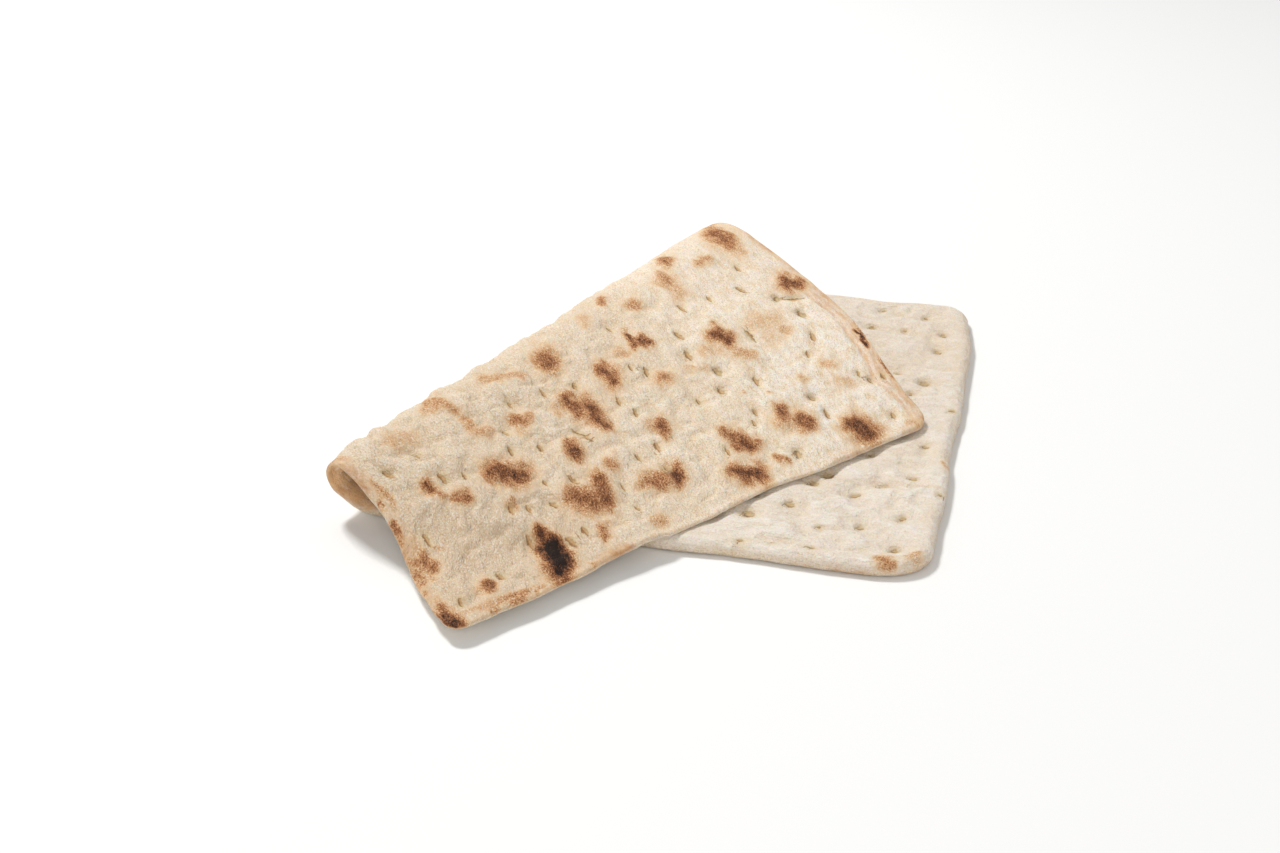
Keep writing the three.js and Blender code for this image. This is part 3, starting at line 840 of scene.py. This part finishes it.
# %% Faces
pale_index = np.arange(sheet_u.size).reshape(sheet_u.shape)
browned_index = pale_index + sheet_u.size
rim_index = 2 * sheet_u.size + np.arange(rim_off.size).reshape(rim_off.shape)
rings = np.vstack([browned_index[ring], rim_index, pale_index[ring]])


def cells(index):
    """The four corners of each cell of a grid, going round it."""
    corners = index[:-1, :-1], index[:-1, 1:], index[1:, 1:], index[1:, :-1]
    return np.stack([corner.ravel() for corner in corners], axis=1)


rim_cells = cells(np.hstack([rings, rings[:, :1]]))
faces = np.vstack([cells(pale_index), cells(browned_index)[:, ::-1], rim_cells])
print("faces:", len(faces))

# %% [markdown]
# ## What each point knows
# The material needs to know, at each point, where it was on the flat sheet, how far it scorched, how
# golden, floury or toasted it is, how high it stands between its hollows and lumps, which darkens the
# hollows with painted shade, and which hole is near. Those could be painted textures. Stored on the
# points they need no picture at all, and the fine grain is added by noise over the flat sheet, so it
# isn't stretched by the fold.

# %% Gold towards the rim
GOLDEN_WIDTH, GOLDEN_END, GOLDEN_FAR_END, GOLDEN_MORE = 4.0, 24, 0.4, 0.25
GOLDEN_LEVEL, GOLDEN_UNEVEN, GOLDEN_LEAST, GOLDEN_BASE = 0.36, 0.3, 0.08, 0.6
GOLDEN_LONG_CELL, GOLDEN_SHORT_CELL = 26, 8
HEM_GOLD, HEM_OVER, HEM_BLEND = 0.58, 2, 6
PALE_GOLD, PALE_GOLD_WIDTH, CURL_SHADE_WIDTH, TURN_REACH = 0.45, 2.5, 26, 1.4

at_end = smooth(1 - sheet_v / GOLDEN_END) + GOLDEN_FAR_END * smooth(1 - (WIDTH - sheet_v) / GOLDEN_END)
golden_edge = GOLDEN_LEVEL + GOLDEN_UNEVEN * hills(sheet_u, sheet_v, GOLDEN_LONG_CELL, seed=71)
golden_edge = golden_edge + GOLDEN_UNEVEN * hills(sheet_u, sheet_v, GOLDEN_SHORT_CELL, seed=72)
golden_edge = np.clip(golden_edge + GOLDEN_MORE * at_end * flap_share, GOLDEN_LEAST, 1)
golden_edge = golden_edge * mix(GOLDEN_BASE, 1, flap_share)
hem_band = hem_share * smooth((HEM + HEM_OVER - from_end) / HEM_BLEND)
golden_browned = golden_edge * bell(rim_distance / GOLDEN_WIDTH)
golden_browned = np.maximum(golden_browned, HEM_GOLD * np.maximum(hem_crease, hem_band))
in_turn = smooth(TURN_REACH - np.abs(sheet_across) / (sheet_turn / 2))
golden_pale = PALE_GOLD * golden_edge * bell(rim_distance / PALE_GOLD_WIDTH)
# Inside the turn the pale face gets a golden tone that fades over a few centimetres from the curl's ends:
# partly a golden lip, partly painted warm shade inside the curl.
golden_pale = mix(golden_pale, bell(rim_distance / CURL_SHADE_WIDTH), in_turn)
print("golden share of the browned face:", round(float((golden_browned > 0.3).mean()), 3))

# %% Flour and toast
FLOUR_START, FLOUR_REACH, FLOUR_FROM, FLOUR_END, FLOUR_FOLD, FLOUR_PALE = 5, 60, 160, 0.6, 0.1, 0.6
TOAST_REACH, TOAST_FLAT = 170, 1.5
TOAST_FOLD, TOAST_FOLD_REACH, TOAST_FOLD_TO, TOAST_FOLD_FADE = 0.5, 90, 210, 60
TOAST_BACK, TOAST_BACK_REACH, TOAST_BACK_FROM, TOAST_BACK_FADE = 0.4, 80, 170, 80
TOAST_FAR, TOAST_FAR_FROM, TOAST_FAR_FADE = 0.28, 90, 130


def near_fold(reach):
    """1 along the fold line, falling off over the reach on the flap."""
    return smooth(TOAST_FLAT - sheet_across / reach)


flour_pale = np.full(sheet_u.shape, FLOUR_PALE)
flour_browned = FLOUR_FOLD * smooth(1 - (sheet_across - FLOUR_START) / FLOUR_REACH)
flour_browned = np.maximum(flour_browned, FLOUR_END * smooth((sheet_v - FLOUR_FROM) / FLOUR_REACH))
# Near the flap's front corner, which droops away from the light, the toast is partly toast and partly
# painted shade.
toast_and_shade_corner = smooth(1 - np.hypot(sheet_u, sheet_v) / TOAST_REACH) * flap_share
towards_front = smooth((TOAST_FOLD_TO - sheet_v) / TOAST_FOLD_FADE)
towards_back = smooth((sheet_v - TOAST_BACK_FROM) / TOAST_BACK_FADE)
toast_fold = TOAST_FOLD * near_fold(TOAST_FOLD_REACH) * towards_front
toast_back = TOAST_BACK * near_fold(TOAST_BACK_REACH) * towards_back
toast_browned = np.maximum.reduce([toast_and_shade_corner, toast_fold, toast_back])
toast_pale = TOAST_FAR * smooth((sheet_v - TOAST_FAR_FROM) / TOAST_FAR_FADE) * shows["pale"]
print("mean toast of the browned face:", toast_browned.mean().round(2))

# %% Height above the hollows
RAISED_PALE, RAISED_BROWNED = (0.5, 0.4, -0.3, -0.3), (0.55, 0.5, -0.1, -0.2)


def raised(shares, heights, dimple, groove):
    """How high a place stands between its hollows and its lumps, from 0 to 1: a middle value plus the
    lumps, the dimple and the groove, each times its share."""
    middle, lump_share, dimple_share, groove_share = shares
    return np.clip(middle + lump_share * heights + dimple_share * dimple + groove_share * groove, 0, 1)


# This height only steers the colour: the hollows get a darker, yellower tone, partly the doughy crumb there
# and partly painted shade.
raised_pale = raised(RAISED_PALE, lumps_pale, dimple_pale, groove_pale)
raised_browned = raised(RAISED_BROWNED, lumps_browned, dimple_browned, groove_browned)
print("mean height, pale and browned:", raised_pale.mean().round(2), raised_browned.mean().round(2))

# %% Fields on the points
# The even gold added on the rim rings is partly baked gold and partly painted warm shade on the rim, which
# faces away from the lamps.
RIM_GOLD_AND_SHADE, RIM_GOLD_AND_SHADE_BASE = 0.12, 0.05
RIM_STEEP, RIM_PALE_STEEP = 1.6, 1.4


def rim_step(steepness):
    """A level step from the browned face's rim to the pale one's, around the middle of the rim."""
    return smooth(0.5 + steepness * (rim_share - 0.5))


def over_all(pale_values, browned_values):
    """The values of both faces, with the rim going from one to the other."""
    rim_values = mix(browned_values[ring], pale_values[ring], rim_step(RIM_STEEP))
    return joined(pale_values, browned_values, rim_values)


none = np.zeros(sheet_u.shape)
# On the rim the gold of both faces meets, plus an even share that is partly painted warm shade.
rim_gold_and_shade = mix(golden_edge[ring], golden_pale[ring], rim_step(RIM_STEEP))
rim_gold_and_shade = rim_gold_and_shade + mix(RIM_GOLD_AND_SHADE_BASE, RIM_GOLD_AND_SHADE, flap_share[ring])
fields = {
    "pale": joined(none + 1, none, np.broadcast_to(rim_step(RIM_PALE_STEEP), rim_u.shape)),
    "scorch": over_all(scorch_pale, scorch_browned),
    "golden": joined(golden_pale, golden_browned, rim_gold_and_shade),
    "flour": over_all(flour_pale, flour_browned),
    "raised": over_all(raised_pale, raised_browned),
    "toast": over_all(toast_pale, toast_browned),
    "tint": joined(hole_pale[..., TINT], hole_browned[..., TINT], 0 * rim_u),
}
hole_parts = [joined(hole_pale[..., k], hole_browned[..., k], 0 * rim_u) for k in (ALONG, ACROSS, NEAR)]
vectors = {"sheet": np.stack([all_u, all_v, all_off], axis=1), "hole": np.stack(hole_parts, axis=1)}
print("fields:", ", ".join([*fields, *vectors]))

# %% [markdown]
# ## The mesh
# Points, faces and fields become one mesh. It could be modelled by hand from a plane, but then no
# point would know its place on the flat sheet. The bread also gets its own flat map, the two faces one
# above the other with half of the rim around each, so that its finish can be kept as a picture later.

# %% Flat map
MAP_STEP, MAP_MARGIN, MAP_EDGE = 1.3, 8, 0.02


def flat_map():
    """One map point for each corner of each face: the place on the flat sheet, with the rim laid out
    around it, in the lower half for the pale face and in the upper half for the browned one."""
    reach = MAP_STEP * np.minimum(np.arange(1, RIM_RINGS + 1), np.arange(RIM_RINGS, 0, -1))[:, None]
    u = joined(sheet_u, sheet_u, ring_u + reach * out_u)
    v = joined(sheet_v, sheet_v, ring_v + reach * out_v)
    x = (u + MAP_MARGIN) / (LENGTH + 2 * MAP_MARGIN)
    y = (v + MAP_MARGIN) / (WIDTH + 2 * MAP_MARGIN)
    upper = np.repeat([0, 1], len(cells(pale_index)))
    upper = np.concatenate([upper, np.repeat([1, 0], len(rim_cells) // 2)])[:, None]
    across = mix(MAP_EDGE, 1 - MAP_EDGE, x[faces])
    height = upper / 2 + mix(MAP_EDGE, 0.5 - MAP_EDGE, y[faces])
    return np.stack([across, height], axis=-1)


bread_map = flat_map()
print("map from", bread_map.min().round(3), "to", bread_map.max().round(3))

# %% Make the bread
def make_bread():
    """One mesh with all points and faces, shaded smooth, with its fields and its flat map."""
    mesh = bpy.data.meshes.new("bread")
    mesh.from_pydata((points * MM).tolist(), [], faces.tolist())
    mesh.polygons.foreach_set("use_smooth", np.ones(len(faces), bool))
    for name, values in fields.items():
        stored = mesh.attributes.new(name, "FLOAT", "POINT")
        stored.data.foreach_set("value", values.astype(np.float32))
    for name, values in vectors.items():
        stored = mesh.attributes.new(name, "FLOAT_VECTOR", "POINT")
        stored.data.foreach_set("vector", values.astype(np.float32).ravel())
    mesh.uv_layers.new(name="OFBake").uv.foreach_set("vector", bread_map.astype(np.float32).ravel())
    mesh.update()
    made = bpy.data.objects.new("bread", mesh)
    bpy.context.scene.collection.objects.link(made)
    return made


bread = make_bread()
print("bread:", len(bread.data.vertices), "points,", len(bread.data.polygons), "faces")

# %% [markdown]
# ## The crust
# Close up, the crust is never one colour. It is floury cream with greyish and yellowish clouds, grain
# finer than a millimetre, golden towards the rim, and it goes through pink and orange-brown to black
# where it scorched. One kind of noise, stretched, sized and sharpened differently, makes clouds,
# streaks, grain and flakes, so it is a node group of its own that each of them uses.

# %% Colours
SCREEN_WHITE, SCREEN_DARK, SCREEN_SLOPE = 255, 0.04045, 12.92
SCREEN_OFFSET, SCREEN_POWER = 0.055, 2.4


def colour(red, green, blue):
    """A colour given from 0 to 255 as on a screen, turned into the linear values that shaders use: a
    power of the value with a small offset, or in the very dark a plain share of it."""
    screen = np.array([red, green, blue]) / SCREEN_WHITE
    curved = ((screen + SCREEN_OFFSET) / (1 + SCREEN_OFFSET)) ** SCREEN_POWER
    linear = np.where(screen > SCREEN_DARK, curved, screen / SCREEN_SLOPE)
    return (*linear.tolist(), 1)


print("mid grey in linear values:", round(colour(128, 128, 128)[0], 3))

# %% Node helpers
MIX_SHARE, MIX_UNDER, MIX_OVER, MIX_COLOUR = 0, 6, 7, 2


def add(tree, kind, inputs=(), **settings):
    """Adds a shader node. An input is a value, or an output of another node to link to."""
    made = tree.nodes.new("ShaderNode" + kind)
    for key, value in settings.items():
        setattr(made, key, value)
    for key, value in dict(inputs).items():
        if isinstance(value, bpy.types.NodeSocket):
            tree.links.new(value, made.inputs[key])
        else:
            made.inputs[key].default_value = value
    return made


def field(tree, name, vector=False):
    """The value that the points carry under that name."""
    return add(tree, "Attribute", attribute_name=name).outputs["Vector" if vector else "Fac"]


def reckon(tree, operation, *values):
    """One step of arithmetic, named as Blender names it; MULTIPLY_ADD is a times b plus c."""
    return add(tree, "Math", enumerate(values), operation=operation).outputs[0]


def step(tree, value, low, high):
    """0 below the low value, 1 above the high one, with a level step between."""
    inputs = {"Value": value, "From Min": low, "From Max": high}
    return add(tree, "MapRange", inputs, interpolation_type="SMOOTHSTEP").outputs[0]


def blend(tree, share, a, b):
    """Colour a where the share is 0 and colour b where it is 1. The Mix node has sockets for each kind
    of value, and those for colours are found by their number."""
    inputs = {MIX_SHARE: share, MIX_UNDER: a, MIX_OVER: b}
    return add(tree, "Mix", inputs, data_type="RGBA").outputs[MIX_COLOUR]


def cover(tree, under, over, mask, most):
    """The colour under it, covered by the one over it: the share is the mask times the most."""
    return blend(tree, reckon(tree, "MULTIPLY", mask, most), under, over)


print("a blend takes its colours from sockets", MIX_UNDER, "and", MIX_OVER)

# %% Speckle group
NOISE_DETAIL, NOISE_ROUGHNESS = 3, 0.6


def make_speckle():
    """Noise over a place, divided by a size and along the length also by a stretch, then pushed away
    from its middle value by a contrast."""
    group = bpy.data.node_groups.new("speckle", "ShaderNodeTree")
    group.interface.new_socket("Place", in_out="INPUT", socket_type="NodeSocketVector")
    for name in ("Size", "Stretch", "Contrast"):
        socket = group.interface.new_socket(name, in_out="INPUT", socket_type="NodeSocketFloat")
        socket.default_value = 1
    group.interface.new_socket("Value", in_out="OUTPUT", socket_type="NodeSocketFloat")
    given = group.nodes.new("NodeGroupInput").outputs
    long_size = reckon(group, "MULTIPLY", given["Size"], given["Stretch"])
    sizes = add(group, "CombineXYZ", {"X": long_size, "Y": given["Size"], "Z": given["Size"]})
    inputs = {0: given["Place"], 1: sizes.outputs[0]}
    place = add(group, "VectorMath", inputs, operation="DIVIDE").outputs[0]
    settings = {"Vector": place, "Scale": 1, "Detail": NOISE_DETAIL, "Roughness": NOISE_ROUGHNESS}
    noise = add(group, "TexNoise", settings)
    centred = reckon(group, "SUBTRACT", noise.outputs[0], 0.5)
    pushed = reckon(group, "MULTIPLY_ADD", centred, given["Contrast"], 0.5)
    value = add(group, "Clamp", {"Value": pushed}).outputs[0]
    group.links.new(value, group.nodes.new("NodeGroupOutput").inputs["Value"])
    return group


speckle_group = make_speckle()


def speckle(tree, place, size, stretch, contrast):
    """The speckle group over a place, with its size in millimetres, its stretch and its contrast."""
    inputs = {"Place": place, "Size": size, "Stretch": stretch, "Contrast": contrast}
    return add(tree, "Group", inputs, node_tree=speckle_group).outputs["Value"]


print("group:", speckle_group.name)

# %% [markdown]
# ### Textures of the crust
# Each texture is the same speckle at another size. Clouds are as large as a thumb, patches and streaks
# are the size of bubbles in the dough, flakes have sharp edges like dried flour, and grain is finer
# than a millimetre. Photographed dough would hold them all in one picture, but it would repeat.

# %% Textures
SPECKLES = {
    "clouds": (16, 1.4, 2.2),
    "patches": (4.5, 1.8, 2.4),
    "streaks": (2.2, 2.2, 2.4),
    "flakes": (3.2, 1.6, 7),
    "ragged": (1.4, 1, 2.2),
    "grain": (0.6, 1.3, 2.8),
}
PATCH_SHARE, STREAK_SHARE = 0.55, 0.45
VALLEY_NONE, VALLEY_FULL = 0.7, 0.15


def textures(tree):
    """All speckles by name, the lumps, which are patches and streaks added up, the valleys between
    the lumps and the hollows of the relief."""
    sheet = field(tree, "sheet", vector=True)
    made = {name: speckle(tree, sheet, *kind) for name, kind in SPECKLES.items()}
    streaks = reckon(tree, "MULTIPLY", made["streaks"], STREAK_SHARE)
    made["lumps"] = reckon(tree, "MULTIPLY_ADD", made["patches"], PATCH_SHARE, streaks)
    # The valleys between the lumps and the hollows darken the colour further down, partly as painted shade.
    made["valleys"] = step(tree, made["lumps"], VALLEY_NONE, VALLEY_FULL)
    made["hollows"] = reckon(tree, "SUBTRACT", 1, field(tree, "raised"))
    return made


print("textures:", ", ".join(SPECKLES))

# %% [markdown]
# ### Dough and gold
# The dough of both faces is built up in the same order, only in other colours: clouds first, then a
# darker, yellower tone in the hollows and valleys, which is partly the doughy crumb there and partly
# painted shade. Flour lies on the patches of the browned face, the oven has toasted some regions evenly,
# and near the flap's drooping front corner the toast is partly painted shade. Grain goes over
# everything. Gold goes over both faces towards the rim, which baked hardest; the extra gold on the rim
# itself and inside the curl's ends is partly painted warm shade. All of it could be one painted
# picture, but layers can each be changed alone.

# %% Dough
# The third tone of each face is the low one for the hollows, the valleys and the gaps between flakes:
# darker and yellower, partly the crumb's own colour and partly painted shade.
CREAM_TONES = (colour(252, 242, 226), colour(238, 214, 180), colour(226, 192, 142))
PALE_TONES = (colour(252, 247, 240), colour(241, 228, 210), colour(224, 202, 170))
CREAM_SHARES, PALE_SHARES, FLAKE_SHARE = (0.35, 0.36, 0.42), (0.4, 0.52, 0.34), 0.2
FLOURY, FLOUR_SHARE, FLOUR_BARE, FLOUR_FULL = colour(250, 244, 237), 0.85, 0.2, 0.8
TOASTED, FLECK = colour(221, 197, 166), colour(202, 174, 138)
GRAIN_SHARE, GRAIN_LESS_ON_PALE = 0.7, 0.35


def clouded_and_shaded(tree, looks, tones, shares):
    """The top colour, covered by the cloud colour in the clouds and by the low colour in the hollows,
    in the valleys and between the flakes. The low colour there is partly painted shade."""
    top, cloud, low = tones
    dough = cover(tree, top, cloud, looks["clouds"], shares[0])
    dough = cover(tree, dough, low, looks["hollows"], shares[1])
    dough = cover(tree, dough, low, looks["valleys"], shares[2])
    return cover(tree, dough, low, reckon(tree, "SUBTRACT", 1, looks["flakes"]), FLAKE_SHARE)


def dough_colour(tree, looks):
    """Both faces' dough, the flour on the browned one, the toast, which near the flap's front corner is
    partly painted shade, and dark and light grain.
    """
    on_pale = field(tree, "pale")
    floury = step(tree, looks["patches"], FLOUR_BARE, FLOUR_FULL)
    flour = reckon(tree, "MULTIPLY", field(tree, "flour"), floury)
    browned = clouded_and_shaded(tree, looks, CREAM_TONES, CREAM_SHARES)
    browned = cover(tree, browned, FLOURY, flour, FLOUR_SHARE)
    dough = blend(tree, on_pale, browned, clouded_and_shaded(tree, looks, PALE_TONES, PALE_SHARES))
    dough = blend(tree, field(tree, "toast"), dough, TOASTED)
    grainy = reckon(tree, "MULTIPLY_ADD", on_pale, -GRAIN_LESS_ON_PALE, GRAIN_SHARE)
    dough = cover(tree, dough, FLECK, step(tree, looks["grain"], 0.5, 1), grainy)
    return cover(tree, dough, FLOURY, step(tree, looks["grain"], 0.5, 0), grainy)


print("most of cloud, hollow and valley:", CREAM_SHARES, PALE_SHARES)

# %% Gold
GOLD, GOLD_DARK, GOLD_DARK_SHARE = colour(228, 186, 140), colour(176, 118, 74), 0.6
GOLD_STREAKS, GOLD_PLAIN, GOLD_NONE, GOLD_FULL = 0.8, 0.6, 0.1, 1.0


def golden_over(tree, looks, dough):
    """Patchy gold over the dough, with an edge made ragged by the streaks. On the rim and inside the
    curl's ends the gold is partly painted warm shade.
    """
    gold = cover(tree, GOLD, GOLD_DARK, looks["patches"], GOLD_DARK_SHARE)
    ragged = reckon(tree, "MULTIPLY_ADD", looks["streaks"], GOLD_STREAKS, GOLD_PLAIN)
    share = reckon(tree, "MULTIPLY", field(tree, "golden"), ragged)
    return blend(tree, step(tree, share, GOLD_NONE, GOLD_FULL), dough, gold)


print("gold, linear:", [round(x, 2) for x in GOLD[:3]])

# %% [markdown]
# ### Scorch
# Burning goes through the same colours everywhere, from tan through brown to black, so one colour ramp
# over the burn does it. Streaks and a spray of grain change the burn before the ramp. A mask painted
# for each colour would be more work, and its edges wouldn't match.

# %% Scorch
SCORCH_COLOURS = [
    (0.0, colour(236, 216, 188)), (0.17, colour(230, 200, 164)), (0.34, colour(212, 168, 124)),
    (0.48, colour(186, 130, 88)), (0.62, colour(148, 96, 62)), (0.78, colour(98, 62, 42)),
    (1.0, colour(40, 28, 22)),
]
SCORCH_STREAKS, SCORCH_PLAIN, SCORCH_NONE, SCORCH_FULL = 0.36, 0.82, 0.03, 0.24
SPRAY, SPRAY_NONE, SPRAY_FULL = 0.24, 0.06, 0.4


def scorch_ramp(tree, burn):
    """The colour of the scorch for each burn, in proportion between the listed ones."""
    ramp = add(tree, "ValToRGB", {"Fac": burn})
    stops = ramp.color_ramp.elements
    for place, _ in SCORCH_COLOURS[1:-1]:
        stops.new(place)
    for stop, (place, tone) in zip(stops, SCORCH_COLOURS):
        stop.position, stop.color = place, tone
    return ramp.outputs["Color"]


def scorch_over(tree, looks, dough):
    """The scorch over the dough. The burn is the stored one times a streaky factor, plus or minus a
    spray of grain where the stored burn is strong enough."""
    scorch = field(tree, "scorch")
    streaky = reckon(tree, "MULTIPLY_ADD", looks["streaks"], SCORCH_STREAKS, SCORCH_PLAIN)
    burn = reckon(tree, "MULTIPLY", scorch, streaky)
    sprayed = reckon(tree, "MULTIPLY_ADD", looks["grain"], 2 * SPRAY, -SPRAY)
    burn = reckon(tree, "MULTIPLY_ADD", sprayed, step(tree, scorch, SPRAY_NONE, SPRAY_FULL), burn)
    return blend(tree, step(tree, burn, SCORCH_NONE, SCORCH_FULL), dough, scorch_ramp(tree, burn))


print("colours of the scorch:", len(SCORCH_COLOURS))

# %% [markdown]
# ### Holes
# A prick or a slit is a ragged lens with a dark side, in a soft dent. The dark side of the lens and the
# darker tone of the dent are painted shade. It could be modelled, but it is hardly wider than a cell of
# the mesh. So the material draws it from each point's place beside its nearest hole.

# %% Holes
# The dark hole colour is painted shade on one side of each hole, and the dent colours are a darker tone
# painted where the dent lies in shade.
HOLE_SHADE, HOLE_TAN, HOLE_OLIVE = colour(128, 80, 40), colour(208, 164, 110), colour(210, 180, 132)
SLIT_DENT_SHADE, PIT_DENT_SHADE = colour(228, 204, 162), colour(222, 196, 150)
DENT_SHADE_SHARE, MIDDLE_SHARE, SHADED_SIDE_SHARE = 0.65, 0.75, 0.65
RAGGED_EDGE, LENS_NONE, LENS_FULL = 0.6, 1.2, 0.6
NEAR_NONE, NEAR_FULL, DENT_FULL = 0.02, 0.14, 0.8
SHADED_SIDE_NONE, SHADED_SIDE_FULL = 0.3, -0.5


def hole_masks(tree, looks):
    """Three masks for the nearest hole: its side with painted shade, its middle and the soft dent around
    it. A hole is a lens, where the square of the place along it plus the place across it is below 1,
    with a ragged edge. All are held back where no hole is near, since the places beside two holes don't
    blend."""
    along, across, near = add(tree, "SeparateXYZ", {0: field(tree, "hole", vector=True)}).outputs
    radius = reckon(tree, "MULTIPLY_ADD", along, along, reckon(tree, "ABSOLUTE", across))
    ragged = reckon(tree, "MULTIPLY_ADD", looks["ragged"], 2 * RAGGED_EDGE, -RAGGED_EDGE)
    lens = step(tree, reckon(tree, "ADD", radius, ragged), LENS_NONE, LENS_FULL)
    middle = reckon(tree, "MULTIPLY", lens, step(tree, near, NEAR_NONE, NEAR_FULL))
    # The dark side is painted shade, on the side of the lens where the place across it is below zero.
    dark = reckon(tree, "MULTIPLY", middle, step(tree, across, SHADED_SIDE_NONE, SHADED_SIDE_FULL))
    return dark, middle, step(tree, near, 0, DENT_FULL)


def holes_over(tree, dough, dark, middle, dent):
    """The dents with their painted shade, then the holes in them, then the painted shade on their one
    side. The tint tells slits from pits.
    """
    tint = field(tree, "tint")
    dough = cover(tree, dough, blend(tree, tint, SLIT_DENT_SHADE, PIT_DENT_SHADE), dent, DENT_SHADE_SHARE)
    dough = cover(tree, dough, blend(tree, tint, HOLE_TAN, HOLE_OLIVE), middle, MIDDLE_SHARE)
    return cover(tree, dough, HOLE_SHADE, dark, SHADED_SIDE_SHARE)


print("most of dent, middle and dark side:", DENT_SHADE_SHARE, MIDDLE_SHARE, SHADED_SIDE_SHARE)

# %% [markdown]
# ### Fine bumps and the whole material
# What is finer than the mesh, flakes, grain and the depth of the holes, is a bump. The browned face
# is roughest at the front. Baked dough is dull and lets a little light in, so the surface is rough,
# hardly shiny and has a weak scatter below it, which a plain rough surface would lack.

# %% Fine bumps
LUMP_BUMP, GRAIN_BUMP, FLAKE_BUMP = 0.8, 0.25, 0.38
ROUGHER_FRONT, ROUGHER_LESS = 0.35, 0.0032
SLIT_SINK, PIT_SINK_MORE, HOLE_SINK = 0.5, 0.6, 0.6
BUMP_STRENGTH, BUMP_HEIGHT = 0.9, 0.001


def fine_bumps(tree, looks, middle, dent):
    """Lumps, flakes and grain added up by their shares, times a factor that falls off across the
    browned face, less the dents and the holes."""
    place = add(tree, "SeparateXYZ", {0: field(tree, "sheet", vector=True)}).outputs
    rougher = reckon(tree, "MULTIPLY_ADD", place[1], -ROUGHER_LESS, ROUGHER_FRONT)
    on_browned = reckon(tree, "SUBTRACT", 1, field(tree, "pale"))
    rough = reckon(tree, "MULTIPLY_ADD", rougher, on_browned, 1)
    bumps = reckon(tree, "MULTIPLY", looks["grain"], GRAIN_BUMP)
    bumps = reckon(tree, "MULTIPLY_ADD", looks["lumps"], LUMP_BUMP, bumps)
    bumps = reckon(tree, "MULTIPLY_ADD", looks["flakes"], FLAKE_BUMP, bumps)
    bumps = reckon(tree, "MULTIPLY", bumps, rough)
    sink = reckon(tree, "MULTIPLY_ADD", field(tree, "tint"), -PIT_SINK_MORE, -SLIT_SINK)
    bumps = reckon(tree, "MULTIPLY_ADD", dent, sink, bumps)
    bumps = reckon(tree, "MULTIPLY_ADD", middle, -HOLE_SINK, bumps)
    inputs = {"Height": bumps, "Strength": BUMP_STRENGTH, "Distance": BUMP_HEIGHT}
    return add(tree, "Bump", inputs).outputs["Normal"]


print("height of the fine bumps, mm:", BUMP_HEIGHT / MM)

# %% Crust
CRUST_SURFACE = {
    "Roughness": 0.85,
    "Specular IOR Level": 0.25,
    "Subsurface Weight": 0.35,
    "Subsurface Radius": (1.0, 0.6, 0.3),
    "Subsurface Scale": 0.0012,
}


def make_crust():
    """The layers from the bottom up: dough, gold, scorch and holes, with the fine bumps."""
    material = bpy.data.materials.new("crust")
    material.use_nodes = True
    tree = material.node_tree
    surface = tree.nodes["Principled BSDF"]
    looks = textures(tree)
    dough = golden_over(tree, looks, dough_colour(tree, looks))
    dough = scorch_over(tree, looks, dough)
    dark, middle, dent = hole_masks(tree, looks)
    tree.links.new(holes_over(tree, dough, dark, middle, dent), surface.inputs["Base Color"])
    tree.links.new(fine_bumps(tree, looks, middle, dent), surface.inputs["Normal"])
    for name, value in CRUST_SURFACE.items():
        surface.inputs[name].default_value = value
    return material


bread.data.materials.append(make_crust())
print("material:", bread.data.materials[0].name)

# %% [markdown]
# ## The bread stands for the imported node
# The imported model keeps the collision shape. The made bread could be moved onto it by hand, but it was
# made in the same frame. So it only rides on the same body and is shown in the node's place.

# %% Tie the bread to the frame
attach(bread, "root")
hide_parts("flatbread")
print("the bread rides on root and replaces flatbread")

# %% [markdown]
# ## Floor and light
# The picture was taken in plain, soft light from the back on a white ground. A photographed
# environment could light the scene, but an even white sky and two lamps are enough. The key lamp at
# the back gives the rims and hollows their shade. The weak, slightly warm fill lamp and the sky keep
# that shade pale.

# %% Floor
FLOOR_SIZE = 8
FLOOR_SURFACE = {"Base Color": colour(248, 248, 247), "Roughness": 0.9, "Specular IOR Level": 0.1}

bpy.ops.mesh.primitive_plane_add(size=FLOOR_SIZE)
floor = bpy.context.object
floor.name = "floor"
floor_material = bpy.data.materials.new("floor")
floor_material.use_nodes = True
floor_surface = floor_material.node_tree.nodes["Principled BSDF"]
for name, value in FLOOR_SURFACE.items():
    floor_surface.inputs[name].default_value = value
floor.data.materials.append(floor_material)
print("floor:", FLOOR_SIZE, "m wide")

# %% Sky
SKY_STRENGTH = 0.44

world = bpy.data.worlds.new("sky")
world.use_nodes = True
sky = world.node_tree.nodes["Background"]
sky.inputs["Color"].default_value = (1, 1, 1, 1)
sky.inputs["Strength"].default_value = SKY_STRENGTH
bpy.context.scene.world = world
print("sky:", SKY_STRENGTH)

# %% Lamps
LAMPS = [
    {"name": "key", "place": (0.2, 1.2, 1.9), "size": 0.4, "power": 33.5, "tone": (1, 1, 1)},
    {"name": "fill", "place": (-1.6, -1.2, 1.2), "size": 1.0, "power": 11.5, "tone": (1, 0.97, 0.92)},
]


def add_lamp(name, place, size, power, tone):
    """A square lamp that looks at the bread."""
    data = bpy.data.lights.new(name, "AREA")
    data.size, data.energy, data.color = size, power, tone
    lamp = bpy.data.objects.new(name, data)
    lamp.location = place
    lamp.rotation_euler = (-lamp.location).to_track_quat("-Z", "Y").to_euler()
    bpy.context.scene.collection.objects.link(lamp)


for lamp in LAMPS:
    add_lamp(**lamp)
bpy.context.scene.view_settings.view_transform = "Standard"
print("lamps:", len(LAMPS))
